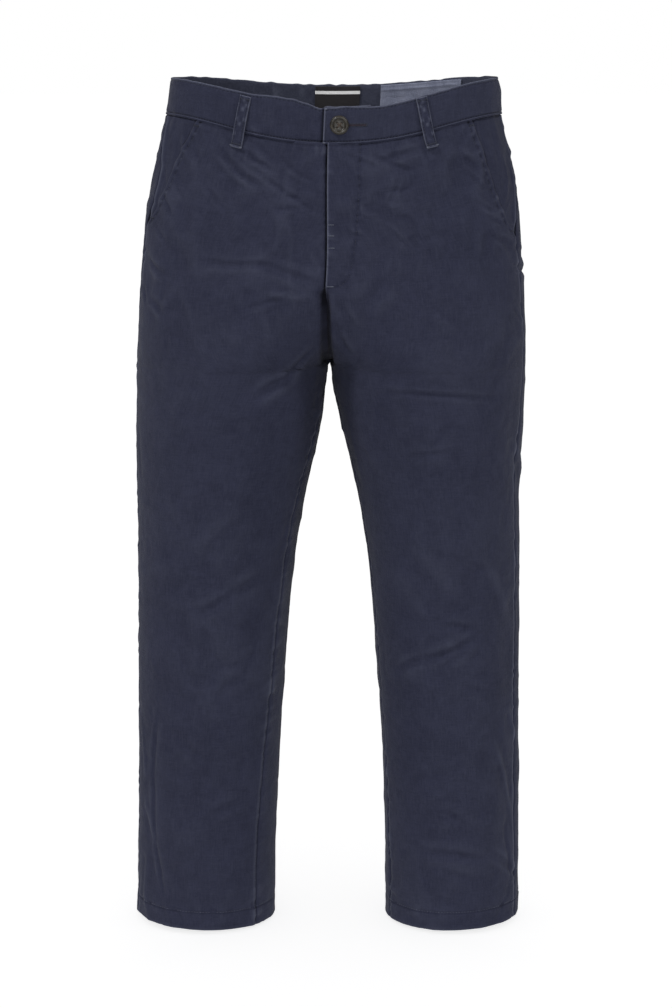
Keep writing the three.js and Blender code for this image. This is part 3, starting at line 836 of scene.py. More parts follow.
def band_face(side, angle, z):
    """Lift of the waistband's outer face in mm: puffed between its stitch lines, drawn into
    puckers at both, and pulled in at the left side's corner and under the lap on the right."""
    angle, z = np.broadcast_arrays(np.asarray(angle, float), np.asarray(z, float))
    p = skin(side, angle, z)
    turn = p[..., 0] + np.where(np.sin(angle) > 0, 0, 300)
    share = (z - BAND_STITCH[1]) / (BAND_STITCH[0] - BAND_STITCH[1])
    puff = 0.35 * np.sin(pi * np.clip(share, 0, 1))
    gather = np.where(np.sin(angle) < 0, 1.0, 0.45) * smooth(np.abs(np.sin(angle)), 0.0, 0.3)
    low = pucker(turn, z - BAND_STITCH[1], 5.5, 9, 0.9, 41)
    high = pucker(turn, z - BAND_STITCH[0], 7.5, 14, 1.6, 47) * gather
    rows = sum(-0.65 * bell(z - level, 0.8) for level in BAND_STITCH)
    pulls = 0.9 * lumps(p + 40, (26, 26, 60)) - 0.7 * np.abs(lumps(p + 80, (13, 13, 19)))
    lift = BAND_PROUD + puff + low + high + rows + pulls
    if side == "left":
        return lift - 3.2 * smooth(z, -16, 1) * bell(angle, 0.35)
    from_centre = p[..., 0] - section["lean"](z)
    under = smooth(from_centre, -BAND_LAP - STEP_FAR, -BAND_LAP - STEP_NEAR) * (np.sin(angle) > 0)
    return lift - (BAND_WALL + LAYER_GAP + 0.2) * under


RIM = [  # x and rise
    (-140, 0), (-120, 0.8), (-88, 2.2), (-60, 5.4), (-42, 5), (-29, 2), (-16, -2.2), (0, -1),
    (12, 0), (30, -1.3), (44, -2.2), (66, -1.5), (92, 0), (130, 0),
]


def band_rise(side, angle, z):
    """How far the band's upper part rises or sags in mm: the front by the table, straight
    between its places, and all of it by a fine gathered ripple near the top edge."""
    angle, z = np.broadcast_arrays(np.asarray(angle, float), np.asarray(z, float))
    x = skin(side, angle, z)[..., 0]
    ripple = np.where(np.sin(angle) < 0, 0.75, 0.3) * smooth(z, -14, 0)
    ripple = ripple * plane_lumps(x / 7, 0.0, 3.3)
    rim = np.interp(x, [row[0] for row in RIM], [row[1] for row in RIM])
    if side == "right":
        rim = rim * smooth(-x, 9, 14)
    return ripple + rim * smooth(np.sin(angle), 0.1, 0.5) * smooth(z, -38, -4)


def band_ring(side, angle):
    """The closed profile at each angle, as lifts and heights: up the outer face, over, down
    the inner face and under."""
    up = np.concatenate([[-36.7, -36.2, -35.7, -35.3, -34.9, -34.4, -33.7],
                         np.linspace(-32, -5.2, 13), [-4.2, -3.4, -2.9, -2.5, -2.1, -1.6]])
    arc = np.radians(np.linspace(0, 180, 7))
    down = np.linspace(-2, -36, 9)
    bulge = BAND_ROLL * np.sin(arc)
    heights = np.concatenate([up, -BAND_ROLL + bulge, down, -36.85 - bulge])
    depth = np.concatenate([0 * up, BAND_ROLL * (1 - np.cos(arc)), 2 * BAND_ROLL + 0 * down,
                            BAND_ROLL * (1 + np.cos(arc))])
    z = np.clip(heights, -38, 0) + 0 * angle[:, None]
    face = band_face(side, angle[:, None], z)
    calm = band_face(side, angle[:, None] + 0 * z, -19.0 + 0 * z) * 0.5 + 0.5 * face
    inner = smooth(depth, 0.8, 2.0)
    return z, face * (1 - inner) + calm * inner - depth, depth


def waistband(side):
    """One half of the waistband from its front end to the centre back, its ends rounded."""
    reach = BAND_LAP if side == "left" else UNDERLAP
    level = np.array([-BAND_HEIGHT / 2])
    ends = angle_at(side, level, -reach, 1), angle_at(side, level, 0.0, -1)
    near = np.array([0, 0.3, 0.8, 1.4])  # the end's first rings
    angle = spaced(side, level, *ends, lambda total: np.append(
        near, np.linspace(2.2, total[0] - 0.1, 330))[None])[0]
    z, lift, depth = band_ring(side, angle)
    from_end = np.append(near, 2.2 + 0 * angle[4:])
    round_off = np.sqrt(np.clip(1 - np.clip(1 - from_end / BAND_ROLL, 0, 1) ** 2, 0, 1))[:, None]
    middle = lift + depth - BAND_ROLL
    lift = middle + (lift - middle) * np.maximum(round_off, 0.05)
    turn = angle[:, None] + 0 * z
    p = skin(side, turn, z)
    points = p + outward(side, turn, z) * lift[..., None]
    points[..., 2] += band_rise(side, turn, z)
    faces, caps = tube_faces(*points.shape[:2], side)
    along, around = lengths(points[:, 8]), lengths(points[60])
    uv = np.stack([along[:, None] + 0 * z, around[None] + 0 * z], -1)
    beat = 0.5 + 0.5 * np.cos(2 * pi * along / 4.1)[:, None]
    face = (depth < 0.1) * 1.0
    wear_and_shading = bell(depth - 0.8, 0.7) * (z > -3)
    # darker along the lower stitch row, as painted shade and less wear in its groove, and painted
    # shade along the face's bottom edge
    wear_and_shading -= face * (0.72 * bell(z - BAND_STITCH[1], 0.6) + 0.5 * smooth(-z, 36.5, 36.9))
    # painted light: the inner face is made paler, as if more light reached it
    wear_and_shading += 0.33 * (depth > 2)
    # darker dashes along the upper stitch row, as painted shade and less wear in its groove
    wear_and_shading -= face * beat * 0.8 * bell(z - BAND_STITCH[0], 0.6)
    ridges = np.maximum(band_face(side, turn, z) - 1.2, 0)
    wear_and_shading += 0.4 * bell(z + 36.2, 0.35) + 0.35 * ridges
    if side == "right":
        from_centre = p[..., 0] - section["lean"](z)
        # painted shadow where the left half's end laps over the right half
        wear_and_shading -= 0.8 * bell(from_centre + 13.0, 1.2) * (np.sin(turn) > 0)
    else:
        wear_and_shading += bell(from_end, 1.2)[:, None]
    piece = make_piece(f"waistband_{side}_cloth", points, faces, uv, np.clip(wear_and_shading, -1, 1), caps)
    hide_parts(f"waistband_{side}")
    print("waistband %s: %.1f mm long" % (side, along[-1]))
    return piece


bands = {side: waistband(side) for side in ("right", "left")}

# %% [markdown]
# ## Belt loops
# A belt loop is a folded strip 12 mm wide with a row of stitches along each edge. Its two ends
# are turned under and fixed with dense tacks, and it stands off the waistband in between. A bent
# card would have no edges, so a flat rounded profile is carried down the loop's line.

# %% Make the five belt loops
LOOP_WIDTH, LOOP_HEIGHT, LOOP_WALL = 12, 53, 1.7
LOOPS = [  # name, side, angle in degrees, and how far its foot leans round in mm
    ("front_right", "right", 61.3, 5.2),
    ("front_left", "left", 63.3, 11.6),
    ("side_right", "right", -42, 2),
    ("side_left", "left", -42, 2),
    ("back", "left", -90, 0),
]


def loop_place(side, angle, lean, across, z, lift):
    """A point of a loop: a distance across from its leaning centre line, a height and a lift."""
    centre = np.radians(angle) - lean * -z / LOOP_HEIGHT / speed(side, np.radians(angle) + 0 * z, z)
    place = centre + across / speed(side, centre, z)
    return skin(side, place, z) + outward(side, centre, z) * lift[..., None]


def loop_lift(z):
    """How far the loop's underside stands off: a squared half sine between its ends."""
    t = np.clip((-1.2 - z) / LOOP_HEIGHT, 0, 1)
    return BAND_PROUD + 0.45 + 1.9 * np.sin(pi * t) ** 2


def loop_thick(z):
    """The loop's thickness, with the turned-under ends thicker by one more layer."""
    t = -1.2 - z
    turned = smooth(-t, -8, -6.5) + smooth(t, LOOP_HEIGHT - 9, LOOP_HEIGHT - 7.5)
    return LOOP_WALL + 0.8 * turned


def belt_loop(name, side, angle, lean):
    """The strap as a closed profile: half a flat oval with two grooves over a flat back."""
    z = np.concatenate([[-1.2, -1.3, -1.7], np.linspace(-2.3, -LOOP_HEIGHT + 0.2, 70),
                        [-53.6, -54.0, -54.2]])[:, None]
    over = np.linspace(-1, 1, 25)
    under = np.linspace(0.92, -0.92, 7)
    across = np.concatenate([over, under])[None] * LOOP_WIDTH / 2
    crown = (1 - np.abs(over) ** 7) ** 0.5 - 0.22 * bell(np.abs(over) - 0.68, 0.09)
    share = np.concatenate([0.12 + 0.88 * crown, 0 * under])[None]
    shut = np.ones(len(z))
    shut[[0, -1]], shut[[1, -2]] = 0.25, 0.7
    bumps = 0.3 * plane_lumps(across / 4, z / 5, angle / 9)
    lift = loop_lift(z) + share * (loop_thick(z) * shut[:, None] + bumps)
    waver = 0.25 * plane_lumps(0 * across, z / 9, angle / 7)
    aside = across * (0.98 + 0.02 * shut[:, None]) + waver
    points = loop_place(side, angle, lean, aside, z + 0 * across, lift)
    faces, caps = tube_faces(*points.shape[:2], side)
    uv = np.stack([across + 0 * z, z + 0 * across], -1)
    wear_and_shading = 0.65 * smooth(np.abs(across), 4.7, 5.7) * (share > 0)
    wear_and_shading = wear_and_shading + 0.8 * smooth(np.abs(z + 27.7), 25.2, 26.2)
    wear_and_shading = wear_and_shading - 0.5 * bell(np.abs(across) - 4.0, 0.5) + 1.8 * np.maximum(bumps, 0)
    wear_and_shading = np.clip(wear_and_shading + 0 * z, -1, 1)
    piece = make_piece(f"belt_loop_{name}_cloth", points, faces, uv, wear_and_shading, caps)
    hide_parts(f"belt_loop_{name}")
    return piece


loops = [belt_loop(*row) for row in LOOPS]
print(len(loops), "belt loops")

# %% [markdown]
# ## Stitches
# The seams are sewn with thread of the cloth's own colour, at about three stitches to the
# centimetre, faded along the hems and inseams, and worn pale on the dense tacks that hold the
# ends. A dashed line in a texture would vanish from the side, so each stitch is a small swelling
# of thread that dives into the cloth at both ends. One stitch is shaped once and copied along a
# line by array arithmetic, and each row of stitches follows the finished surface.

# %% Sew the rows of stitches
STITCH = 2.6
thread_parts = []


def sew(points, normals, pitch=3.2, length=STITCH, width=0.55, across=False, proud=0.12):
    """Stitches along a line of points in mm: their centres lie one pitch apart, each turned to
    the line, or across it for a tack, with its top along the cloth's normal."""
    along = lengths(points)
    centres = np.arange(pitch / 2, along[-1], pitch)

    def at(where, values):
        return np.stack([np.interp(where, along, values[:, i]) for i in range(3)], -1)

    centre, up = at(centres, points), unit(at(centres, normals))
    ahead = at(centres + 0.5, points) - at(centres - 0.5, points)
    ahead = unit(ahead - (ahead * up).sum(-1, keepdims=True) * up)
    beside = np.cross(up, ahead)
    if across:
        ahead, beside = beside, ahead
    thread_parts.append((centre + up * proud, ahead * length / 2, beside * width / 2,
                         up * width / 2))


def stitch_shape():
    """One stitch in units of its half-length and half-width: four rings of five points, a full
    middle and narrow ends that dive."""
    t = np.array([-1, -0.45, 0.45, 1])[:, None]
    turn = np.linspace(0, 2 * pi, 6)[None, :-1]
    size = np.array([0.35, 1, 1, 0.35])[:, None]
    dive = np.array([-1.3, 0, 0, -1.3])[:, None]
    shape = np.stack([t + 0 * turn, size * np.cos(turn), size * np.sin(turn) + dive], -1)
    faces = grid_faces(4, 5, closed=True)
    return shape.reshape(-1, 3), faces, [[4, 3, 2, 1, 0], [15, 16, 17, 18, 19]]


def panel_row(side, angle, z, **sizes):
    """A row of stitches on a panel's finished surface, through given angles and heights."""
    angle, z = np.broadcast_arrays(angle, z)
    sew(dressed(side, angle, z), outward(side, angle, z), **sizes)


def band_row(side, angle, z, **sizes):
    """A row of stitches on the waistband's outer face."""
    angle, z = np.broadcast_arrays(angle, z)
    normal = outward(side, angle, z)
    place = skin(side, angle, z) + normal * band_face(side, angle, z)[..., None]
    place[..., 2] += band_rise(side, angle, z)
    sew(place, normal, **sizes)


def loop_row(loop, x, z, sink, share=1.0, **sizes):
    """A row of stitches on a belt loop, sunk by some mm below a share of its thickness."""
    _, side, angle, lean = loop
    lift = loop_lift(z) + loop_thick(z) * share - sink
    normal = outward(side, np.radians(angle) + 0 * z, z)
    sew(loop_place(side, angle, lean, x, z, lift), normal, **sizes)


TACK = {"pitch": 0.62, "length": 2.2, "width": 0.5, "across": True}  # dense, across its line
for side in ("right", "left"):
    z = np.linspace(-40, MOUTH_END[side] + 2, 120)
    lip_angle = np.radians(mouth[side](z))
    panel_row(side, lip_angle + MOUTH_STITCH / speed(side, lip_angle, z), z)
    for level in (MOUTH_END[side] + 9.0, -43.0):
        z = np.full(12, level)
        first = np.radians(mouth[side](z))
        panel_row(side, first + np.linspace(0.3, 6.2, 12) / speed(side, first, z), z,
                  proud=0.2, **TACK)
    reach = BAND_LAP - 2 if side == "left" else -14.0
    for level in BAND_STITCH:
        z = np.full(400, float(level))
        ends = angle_at(side, z[:1], -reach, 1), angle_at(side, z[:1], 1.0, -1)
        band_row(side, np.linspace(ends[0][0], ends[1][0], 400), z)

path = np.array(FLY_STITCH, float)
where = lengths(path)
dense = np.linspace(0, where[-1], 160)
px, pz = np.interp(dense, where, path[:, 0]), np.interp(dense, where, path[:, 1])
panel_row("left", angle_at("left", pz, px, 1), pz)
z = np.linspace(-40, -288, 160)
panel_row("left", angle_at("left", z, 2.6, -1), z)
z = np.linspace(-BAND_HEIGHT + 3, -3, 40)
band_row("left", angle_at("left", z, -BAND_LAP + 2, 1), z)
plain_rows, thread_parts = thread_parts, []
for side in ("right", "left"):
    panel_row(side, np.linspace(0, 2 * pi, 400), HEM_STITCH)
    z = np.linspace(-302, -917, 400)
    inner = pi - np.radians(seam["in_" + side](z))
    panel_row(side, inner - 2.2 / speed(side, inner, z), z)
seam_rows, thread_parts = thread_parts, []
for level, first, last in ((-128, 0.8, 6.5), (-142.3, 0.8, 7), (-158.5, 0.4, 7.5), (-206.5, 1, 8)):
    x = np.linspace(first, last, 12) - fly_lap(float(level))
    z = np.full(12, float(level))
    angle = angle_at("left", z, x, 1)
    sew(dressed("left", angle, z, 0.7), outward("left", angle, z),
        pitch=0.6, length=1.1, width=0.5, across=True, proud=0.1)
for x, z in ((-10.4, -1.4), (-11.0, -36.6)):
    z = np.full(8, z)
    band_row("left", angle_at("left", z, x + np.linspace(-1.2, 1.2, 8), 1), z,
             pitch=0.5, length=1.4, width=0.5, across=True, proud=0.35)
for loop in LOOPS:
    loop_row(loop, np.linspace(-6.7, 6.7, 24), np.full(24, -52.6), 0.3,
             pitch=0.6, length=1.5, width=0.5, across=True)
pale_rows, thread_parts = thread_parts, plain_rows

for loop in LOOPS:
    for edge in (-4.1, 4.1):
        z = np.linspace(-2.5, -53, 60)
        loop_row(loop, edge + 0 * z, z, 0.25, share=0.95, pitch=2.9, length=2.3)
    for level in (-4.6, -50.4):
        loop_row(loop, np.linspace(-5.2, 5.2, 20), np.full(20, level), 0.1, **TACK)


def join_stitches(name, parts):
    """One mesh of all stitches: each centre plus the shape's three measures along its own axes."""
    shape, faces, caps = stitch_shape()
    centre, ahead, beside, up = (np.concatenate([part[i] for part in parts]) for i in range(4))
    points = (centre[:, None] + shape[None, :, :1] * ahead[:, None]
              + shape[None, :, 1:2] * beside[:, None] + shape[None, :, 2:] * up[:, None])
    count = len(centre)
    offsets = (np.arange(count) * len(shape))[:, None, None]
    all_faces = (faces[None] + offsets).reshape(-1, 4)
    ends = (np.array(caps)[None] + offsets).reshape(-1, 5)
    piece = make_piece(name, points, all_faces, caps=ends.tolist())
    print(name, count, "stitches")
    return piece


stitching = join_stitches("stitching", thread_parts)
tacks = join_stitches("worn_tacks", pale_rows)
seam_stitching = join_stitches("hem_and_inseam_stitching", seam_rows)

# %% [markdown]
# ## Button and buttonhole
# The waist closes with a horn-like button of 19 mm with four holes, a raised rim and a hollow
# middle. It could be turned on a lathe and drilled with booleans. Here its face is one height
# over a disc of fine rings, and each hole is a steep dip in that height, so the rim, the bowl and
# the holes stay one smooth surface. Thread crosses between the holes, and the buttonhole is a
# narrow ring of tacks.

# %% Turn the button
BUTTON_DIAMETER, BUTTON_THICK, BUTTON_SIDE, BUTTON_DROP = 19, 3.6, 4, 19
BUTTON_HOLE, BUTTON_PITCH = 1.9, 2.3
button_z = np.array(-float(BUTTON_DROP))
button_angle = angle_at("left", button_z, float(BUTTON_SIDE), 1)
button_out = outward("left", button_angle, button_z)
button_seat = skin("left", button_angle, button_z) + button_out * (BAND_PROUD + LAYER_GAP / 2)
button_right = unit(np.cross(button_out, np.array([0.0, 0, 1.0])))
button_right = button_right * np.sign(button_right[0])
button_up = np.cross(button_right, button_out)
button_up = button_up * np.sign(button_up[2])


def on_button(x, y, h):
    """A place on the button: mm to the right, up and out from its seat."""
    flat = button_seat + x[..., None] * button_right + y[..., None] * button_up
    return flat + h[..., None] * button_out


def button_face(x, y):
    """Height of the button's front: a rounded rim, a step down to a hollow, and four holes."""
    r = np.hypot(x, y)
    radius = BUTTON_DIAMETER / 2
    rim = 0.55 * bell(r - 7.7, 1.0) - 1.0 * smooth(r, radius - 1.4, radius) ** 2
    bowl = -1.05 * smooth(-r, -7.0, -5.4) - 0.22 * bell(r - 5.2, 0.35)
    from_holes = [np.hypot(x - i * BUTTON_PITCH, y - j * BUTTON_PITCH)
                  for i in (-1, 1) for j in (-1, 1)]
    wall = BUTTON_HOLE / 2
    hole = sum(smooth(-distance, -wall - 0.12, -wall + 0.12) for distance in from_holes)
    return np.maximum(BUTTON_THICK * 0.93 + rim + bowl - 1.9 * hole, 0.35)


r = np.concatenate([np.linspace(0.05, 4.9, 44), np.linspace(5.05, 9.5, 24)])
turn = np.linspace(0, 2 * pi, 97)[:-1]
x, y = r[:, None] * np.cos(turn), r[:, None] * np.sin(turn)
front = on_button(x, y, button_face(x, y))
edge_r = np.array([9.62, 9.58, 9.3, 8.3, 6.0, 0.05])
edge_h = np.array([2.2, 1.5, 0.8, 0.1, 0.0, 0.0])
back = on_button(edge_r[:, None] * np.cos(turn), edge_r[:, None] * np.sin(turn),
                 edge_h[:, None] + 0 * turn)
points = np.concatenate([front, back])
rings = len(points)
faces = grid_faces(rings, 96, closed=True)
caps = [list(range(95, -1, -1)), list(range((rings - 1) * 96, rings * 96))]
button = make_piece("waist_button_turned", points, faces, caps=caps)
button.data.flip_normals()  # its rings run the other way round than their faces need
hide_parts("waist_button")
print("button of", len(points) * len(turn), "points")

# %% Tie the button and sew the buttonhole
knot = []
for i, j in ((1, 1), (1, -1)):
    for shift in (-0.5, 0, 0.5):
        t = np.linspace(-1, 1, 9)
        x = BUTTON_PITCH * i * t - shift * j * 0.8
        y = BUTTON_PITCH * j * t + shift * i * 0.8
        h = BUTTON_THICK * 0.93 - 1.05 + 0.55 - 1.5 * np.abs(t) ** 5 + 0.12 * (i == j)
        line = on_button(x, y, h)
        middle = (line[1:] + line[:-1]) / 2
        step = line[1:] - line[:-1]
        side_way = unit(np.cross(np.broadcast_to(button_out, step.shape), step))
        top = unit(np.cross(step, side_way))
        knot.append((middle, step * 0.62, side_way * 0.3, top * 0.3))
shank = join_stitches("button_thread", knot)

thread_parts = []
start_x, end_x, half = 1.0, 31.0, 1.25
bow = np.linspace(0, pi, 20)
turn = np.concatenate([np.linspace(start_x, end_x, 90), end_x + half * np.sin(bow),
                       np.linspace(end_x, start_x, 90)])
rise = np.concatenate([np.full(90, half), half * np.cos(bow), np.full(90, -half)])
slot_z = -BUTTON_DROP + rise
slot_angle = angle_at("left", slot_z, turn, 1)
band_row("left", slot_angle, slot_z, pitch=0.55, length=1.9, width=0.5, across=True, proud=0.12)
buttonhole = join_stitches("buttonhole_stitching", thread_parts)
thread_parts = []
line_x = np.linspace(start_x, end_x, 60)
line_z = np.full(60, -float(BUTTON_DROP))
band_row("left", angle_at("left", line_z, line_x, 1), line_z,
         pitch=1.5, length=1.9, width=0.85, proud=0.1)
slot_gimp = join_stitches("buttonhole_slit", thread_parts)

# %% [markdown]
# ## Label and patch
# Inside the back waistband a dark woven label shows, blank but for a pale line near its top, and
# to the wearer's left a patch of pale blue chambray with a turned, stitched edge. Flat cards
# would float, so both are strips laid on the band's inner face, facing inward, with a little
# slack in them.

# %% Cut the label and the patch
def inside_strip(name, x0, x1, top, bottom, columns, rows, slack):
    """A strip on the inner face of the back waistband, between two distances from the centre line,
    bulging inward by its slack."""
    z = np.linspace(top, bottom, rows)
    start, end = (angle_at("left", z, x, -1)[:, None] for x in (x0, x1))
    angle = np.linspace(0, 1, columns) * (end - start) + start
    level = z[:, None] + 0 * angle
    p = skin("left", angle, level)
    t, u = np.linspace(0, 1, columns), np.linspace(0, 1, rows)[:, None]
    lift = BAND_PROUD - BAND_WALL - LAYER_GAP - 0.75 - slack(t, u, p)
    points = p + outward("left", angle, level) * lift[..., None]
    uv = np.stack([widths(points) - widths(points)[:, :1], level - top], -1)
    faces = grid_faces(rows, columns)[:, ::-1]
    return thicken(make_piece(name, points, faces, uv, np.zeros((rows, columns))), 0.5)


def label_slack(t, u, p):
    """Bulge of the label in mm: a slow wave along its free lower part."""
    return 0.5 * np.sin(pi * t) * np.sin(pi * u) + 0.25 * lumps(p, (14, 14, 20))


def patch_slack(t, u, p):
    """Bulge of the patch: crumpled, with a raised fold along its edges."""
    fold = 0.5 * bell(t - 0.03, 0.02) + 0.45 * bell(u - 0.17, 0.05)
    return fold + 0.6 * np.abs(lumps(p + 70, (9, 9, 13))) + 0.4 * lumps(p, (22, 22, 22))


label = inside_strip("waist_label_cloth", -22.5, 26.5, -1.8, -34, 60, 40, label_slack)
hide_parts("waist_label")
patch = inside_strip("waist_patch_cloth", 49, 136, -1.6, -33, 110, 44, patch_slack)
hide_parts("waist_patch")
print("label and patch sewn in")

# %% [markdown]
# ## Materials
# Garment-dyed twill has a steep diagonal rib half a millimetre wide, a cloudy depth of colour
# from the dye bath, and pale wear where seams stand up. The same mark that carries the wear also
# paints shade into hollows, grooves and under laps, and light onto the waistband's inner face. An
# image could carry that, but the nodes below work it out from the cloth's own measure, so the rib
# runs with the grain on every piece. Arithmetic on a node's output is written as plain Python
# through one small class.

# %% A shader's numbers as Python values
class Measure:
    """A number worked out at each point of a surface: +, - and *, on either side, add Math nodes."""

    def __init__(self, paint, socket):
        self.paint, self.socket = paint, socket

    def _math(self, operation, *others):
        return self.paint.node("ShaderNodeMath", {"operation": operation}, dict(enumerate(others)))

    def __add__(self, other):
        return self._math("ADD", self, other)

    def __radd__(self, other):
        return self._math("ADD", other, self)

    def __sub__(self, other):
        return self._math("SUBTRACT", self, other)

    def __rsub__(self, other):
        return self._math("SUBTRACT", other, self)

    def __mul__(self, other):
        return self._math("MULTIPLY", self, other)

    def __rmul__(self, other):
        return self._math("MULTIPLY", other, self)

    def sine(self):
        """The sine of the value, in radians."""
        return self._math("SINE", self)

    def between(self, low, high):
        """0 below low, 1 above high and a smooth step between."""
        return self.paint.node(
            "ShaderNodeMapRange", {"interpolation_type": "SMOOTHSTEP"},
            {"Value": self, "From Min": low, "From Max": high},
        )


class Paint:
    """One material: its nodes, and the shader that they feed."""

    def __init__(self, name, **constants):
        self.material = bpy.data.materials.new(name)
        self.material.use_nodes = True
        self.tree = self.material.node_tree
        self.shader = self.tree.nodes["Principled BSDF"]
        for socket, value in constants.items():
            self.shader.inputs[socket.replace("_", " ")].default_value = value

    def node(self, kind, settings=None, inputs=None, out=0):
        """Add a node: its settings first, then the values or links of its sockets."""
        made = self.tree.nodes.new(kind)
        for name, value in (settings or {}).items():
            setattr(made, name, value)
        for name, value in (inputs or {}).items():
            if isinstance(value, Measure):
                self.tree.links.new(value.socket, made.inputs[name])
            else:
                made.inputs[name].default_value = value
        return Measure(self, made.outputs[out])

    def blend(self, factor, first, second, mode="MIX"):
        """Two colours mixed by a factor."""
        settings = {"data_type": "RGBA", "blend_type": mode}
        colours = {0: factor, 6: first, 7: second}
        return self.node("ShaderNodeMix", settings, colours, out=2)

    def place(self):
        """Object coordinates, in metres."""
        return self.node("ShaderNodeTexCoord", out="Object")

    def cloth(self):
        """The cloth's own measure in metres: along the row, and down."""
        uv = self.node("ShaderNodeUVMap", {"uv_map": "cloth"})
        split = self.node("ShaderNodeSeparateXYZ", None, {0: uv})
        return uv, split, Measure(self, split.socket.node.outputs[1])

    def noise(self, vector, scale, detail=2.0, rough=0.5):
        """Soft random values from 0 to 1."""
        return self.node("ShaderNodeTexNoise", None,
                         {"Vector": vector, "Scale": scale, "Detail": detail, "Roughness": rough})

    def stretched(self, vector, x, y, z):
        """A vector multiplied axis by axis."""
        return self.node("ShaderNodeVectorMath", {"operation": "MULTIPLY"},
                         {0: vector, 1: (x, y, z)})

    def bump(self, height, strength, distance):
        """The normal of a height in metres times the distance."""
        inputs = {"Height": height, "Strength": strength, "Distance": distance}
        return self.node("ShaderNodeBump", None, inputs)

    def feed(self, **sockets):
        """Link values to the shader's sockets."""
        for socket, value in sockets.items():
            self.tree.links.new(value.socket, self.shader.inputs[socket.replace("_", " ")])
        return self.material


# %% Dye the twill
def rgb(red, green, blue):
    """A colour with full alpha from linear red, green and blue."""
    return (red, green, blue, 1.0)


def make_twill(name, ground, light, pale_to, seam_and_shade_to):
    """Twill: cloudy ground colour, a diagonal rib with slubs in its yarns, pale wear and painted
    light where the mark is above zero, and dark seams and painted shade where it is below."""
    paint = Paint(name, Sheen_Weight=0.035, Sheen_Roughness=0.4, Specular_IOR_Level=0.12)
    place = paint.place()
    uv, u, v = paint.cloth()
    rumple = paint.noise(place, 130.0, 4.0, 0.6)
    cloud = paint.noise(place, 16.0, 3.0, 0.55)
    mottle = paint.noise(place, 90.0, 4.0, 0.6)
    fleck = paint.noise(place, 330.0, 3.0, 0.6)
    streak = paint.noise(paint.stretched(uv, 900.0, 60.0, 1.0), 1.0, 2.0)
    weft = paint.noise(paint.stretched(uv, 60.0, 1100.0, 1.0), 1.0, 2.0)
    rib = ((u * 0.88 + v * 0.47) * (2 * pi / 0.00062)).sine() * 0.5 + 0.5
    yarn = (u * (2 * pi / 0.00034)).sine() * (v * (2 * pi / 0.00046)).sine() * 0.5 + 0.5
    depth = cloud * 0.3 + mottle * 0.35 + fleck * 0.3 + streak * 0.05
    base = paint.blend(depth.between(0.38, 0.62), ground, light)
    grain = rib * 0.35 + streak * 0.35 + weft * 0.3
    grained = paint.blend(grain.between(0.25, 0.8) * 0.30, base, pale_to)
    wear_and_shading_mark = paint.node("ShaderNodeAttribute", {"attribute_name": "wear_and_shading"}, out="Fac")
    patchy = wear_and_shading_mark * (paint.noise(place, 420.0, 3.0) * 0.9 + 0.45)
    # paler where the mark is above zero: wear, and painted light on the waistband's inner face
    colour = paint.blend(patchy.between(-0.25, 0.85) * 1.25 - 0.15, grained, pale_to)
    # darker where the mark is below zero: dark seams, and painted shade in hollows, grooves and
    # under laps
    colour = paint.blend((0.0 - wear_and_shading_mark).between(0.02, 0.9), colour, seam_and_shade_to)
    height = rib * 0.07 + yarn * 0.03 + streak * 0.05 + weft * 0.04 + rumple * 0.8
    return paint.feed(Base_Color=colour, Normal=paint.bump(height, 1.0, 0.001),
                      Roughness=0.9 - patchy.between(0.2, 1.0) * 0.1)


NAVY = rgb(0.0098, 0.0110, 0.0254)
NAVY_LIGHT = rgb(0.0152, 0.0168, 0.0356)
# the darkest navy paints dark seams and painted shade; the palest is for grain, wear and the painted
# light on the waistband's inner face
NAVY_SEAM_AND_SHADE = rgb(0.0030, 0.0032, 0.0070)
NAVY_PALE = rgb(0.069, 0.075, 0.108)
twill = make_twill("garment_dyed_twill", NAVY, NAVY_LIGHT, NAVY_PALE, NAVY_SEAM_AND_SHADE)
print("twill:", len(twill.node_tree.nodes), "nodes")

# %% [markdown]
# ## Thread, horn, label and chambray
# The thread takes the same dye, a little lighter, and pales where it rubs. The button is cast to
# look like horn, with dark and olive clouds and a soft polish. The label is a dense satin tape,
# and chambray crosses white and blue yarns, so from a step away it looks a dusty pale blue. Each
# gets its own few nodes.

# %% Spin the thread, cast the horn, weave label and chambray
def make_thread(name, ground, light):
    """Thread: two tones in a fine speckle, with a slight gloss."""
    paint = Paint(name, Roughness=0.7, Sheen_Weight=0.05, Specular_IOR_Level=0.2)
    speckle = paint.noise(paint.place(), 1600.0, 3.0)
    colour = paint.blend(speckle.between(0.35, 0.65), ground, light)
    return paint.feed(Base_Color=colour, Normal=paint.bump(speckle, 0.4, 0.0001))


def make_horn():
    """Horn-like resin: olive and brown clouds drawn into bands, pale flecks, and fine scratches."""
    paint = Paint("horn_resin", Roughness=0.4, Coat_Weight=0.1, Coat_Roughness=0.3,
                  Specular_IOR_Level=0.4)
    place = paint.place()
    bands = paint.noise(paint.stretched(place, 260.0, 260.0, 700.0), 1.0, 4.0, 0.6)
    flecks = paint.noise(place, 900.0, 3.0)
    base = paint.blend(bands.between(0.35, 0.65),
                       rgb(0.0055, 0.0048, 0.004), rgb(0.024, 0.020, 0.013))
    colour = paint.blend(flecks.between(0.58, 0.75) * 0.6, base, rgb(0.08, 0.062, 0.04))
    scratch = paint.noise(paint.stretched(place, 300.0, 300.0, 3200.0), 1.0, 2.0)
    return paint.feed(Base_Color=colour, Roughness=0.24 + scratch * 0.3,
                      Normal=paint.bump(scratch, 0.15, 0.0001))


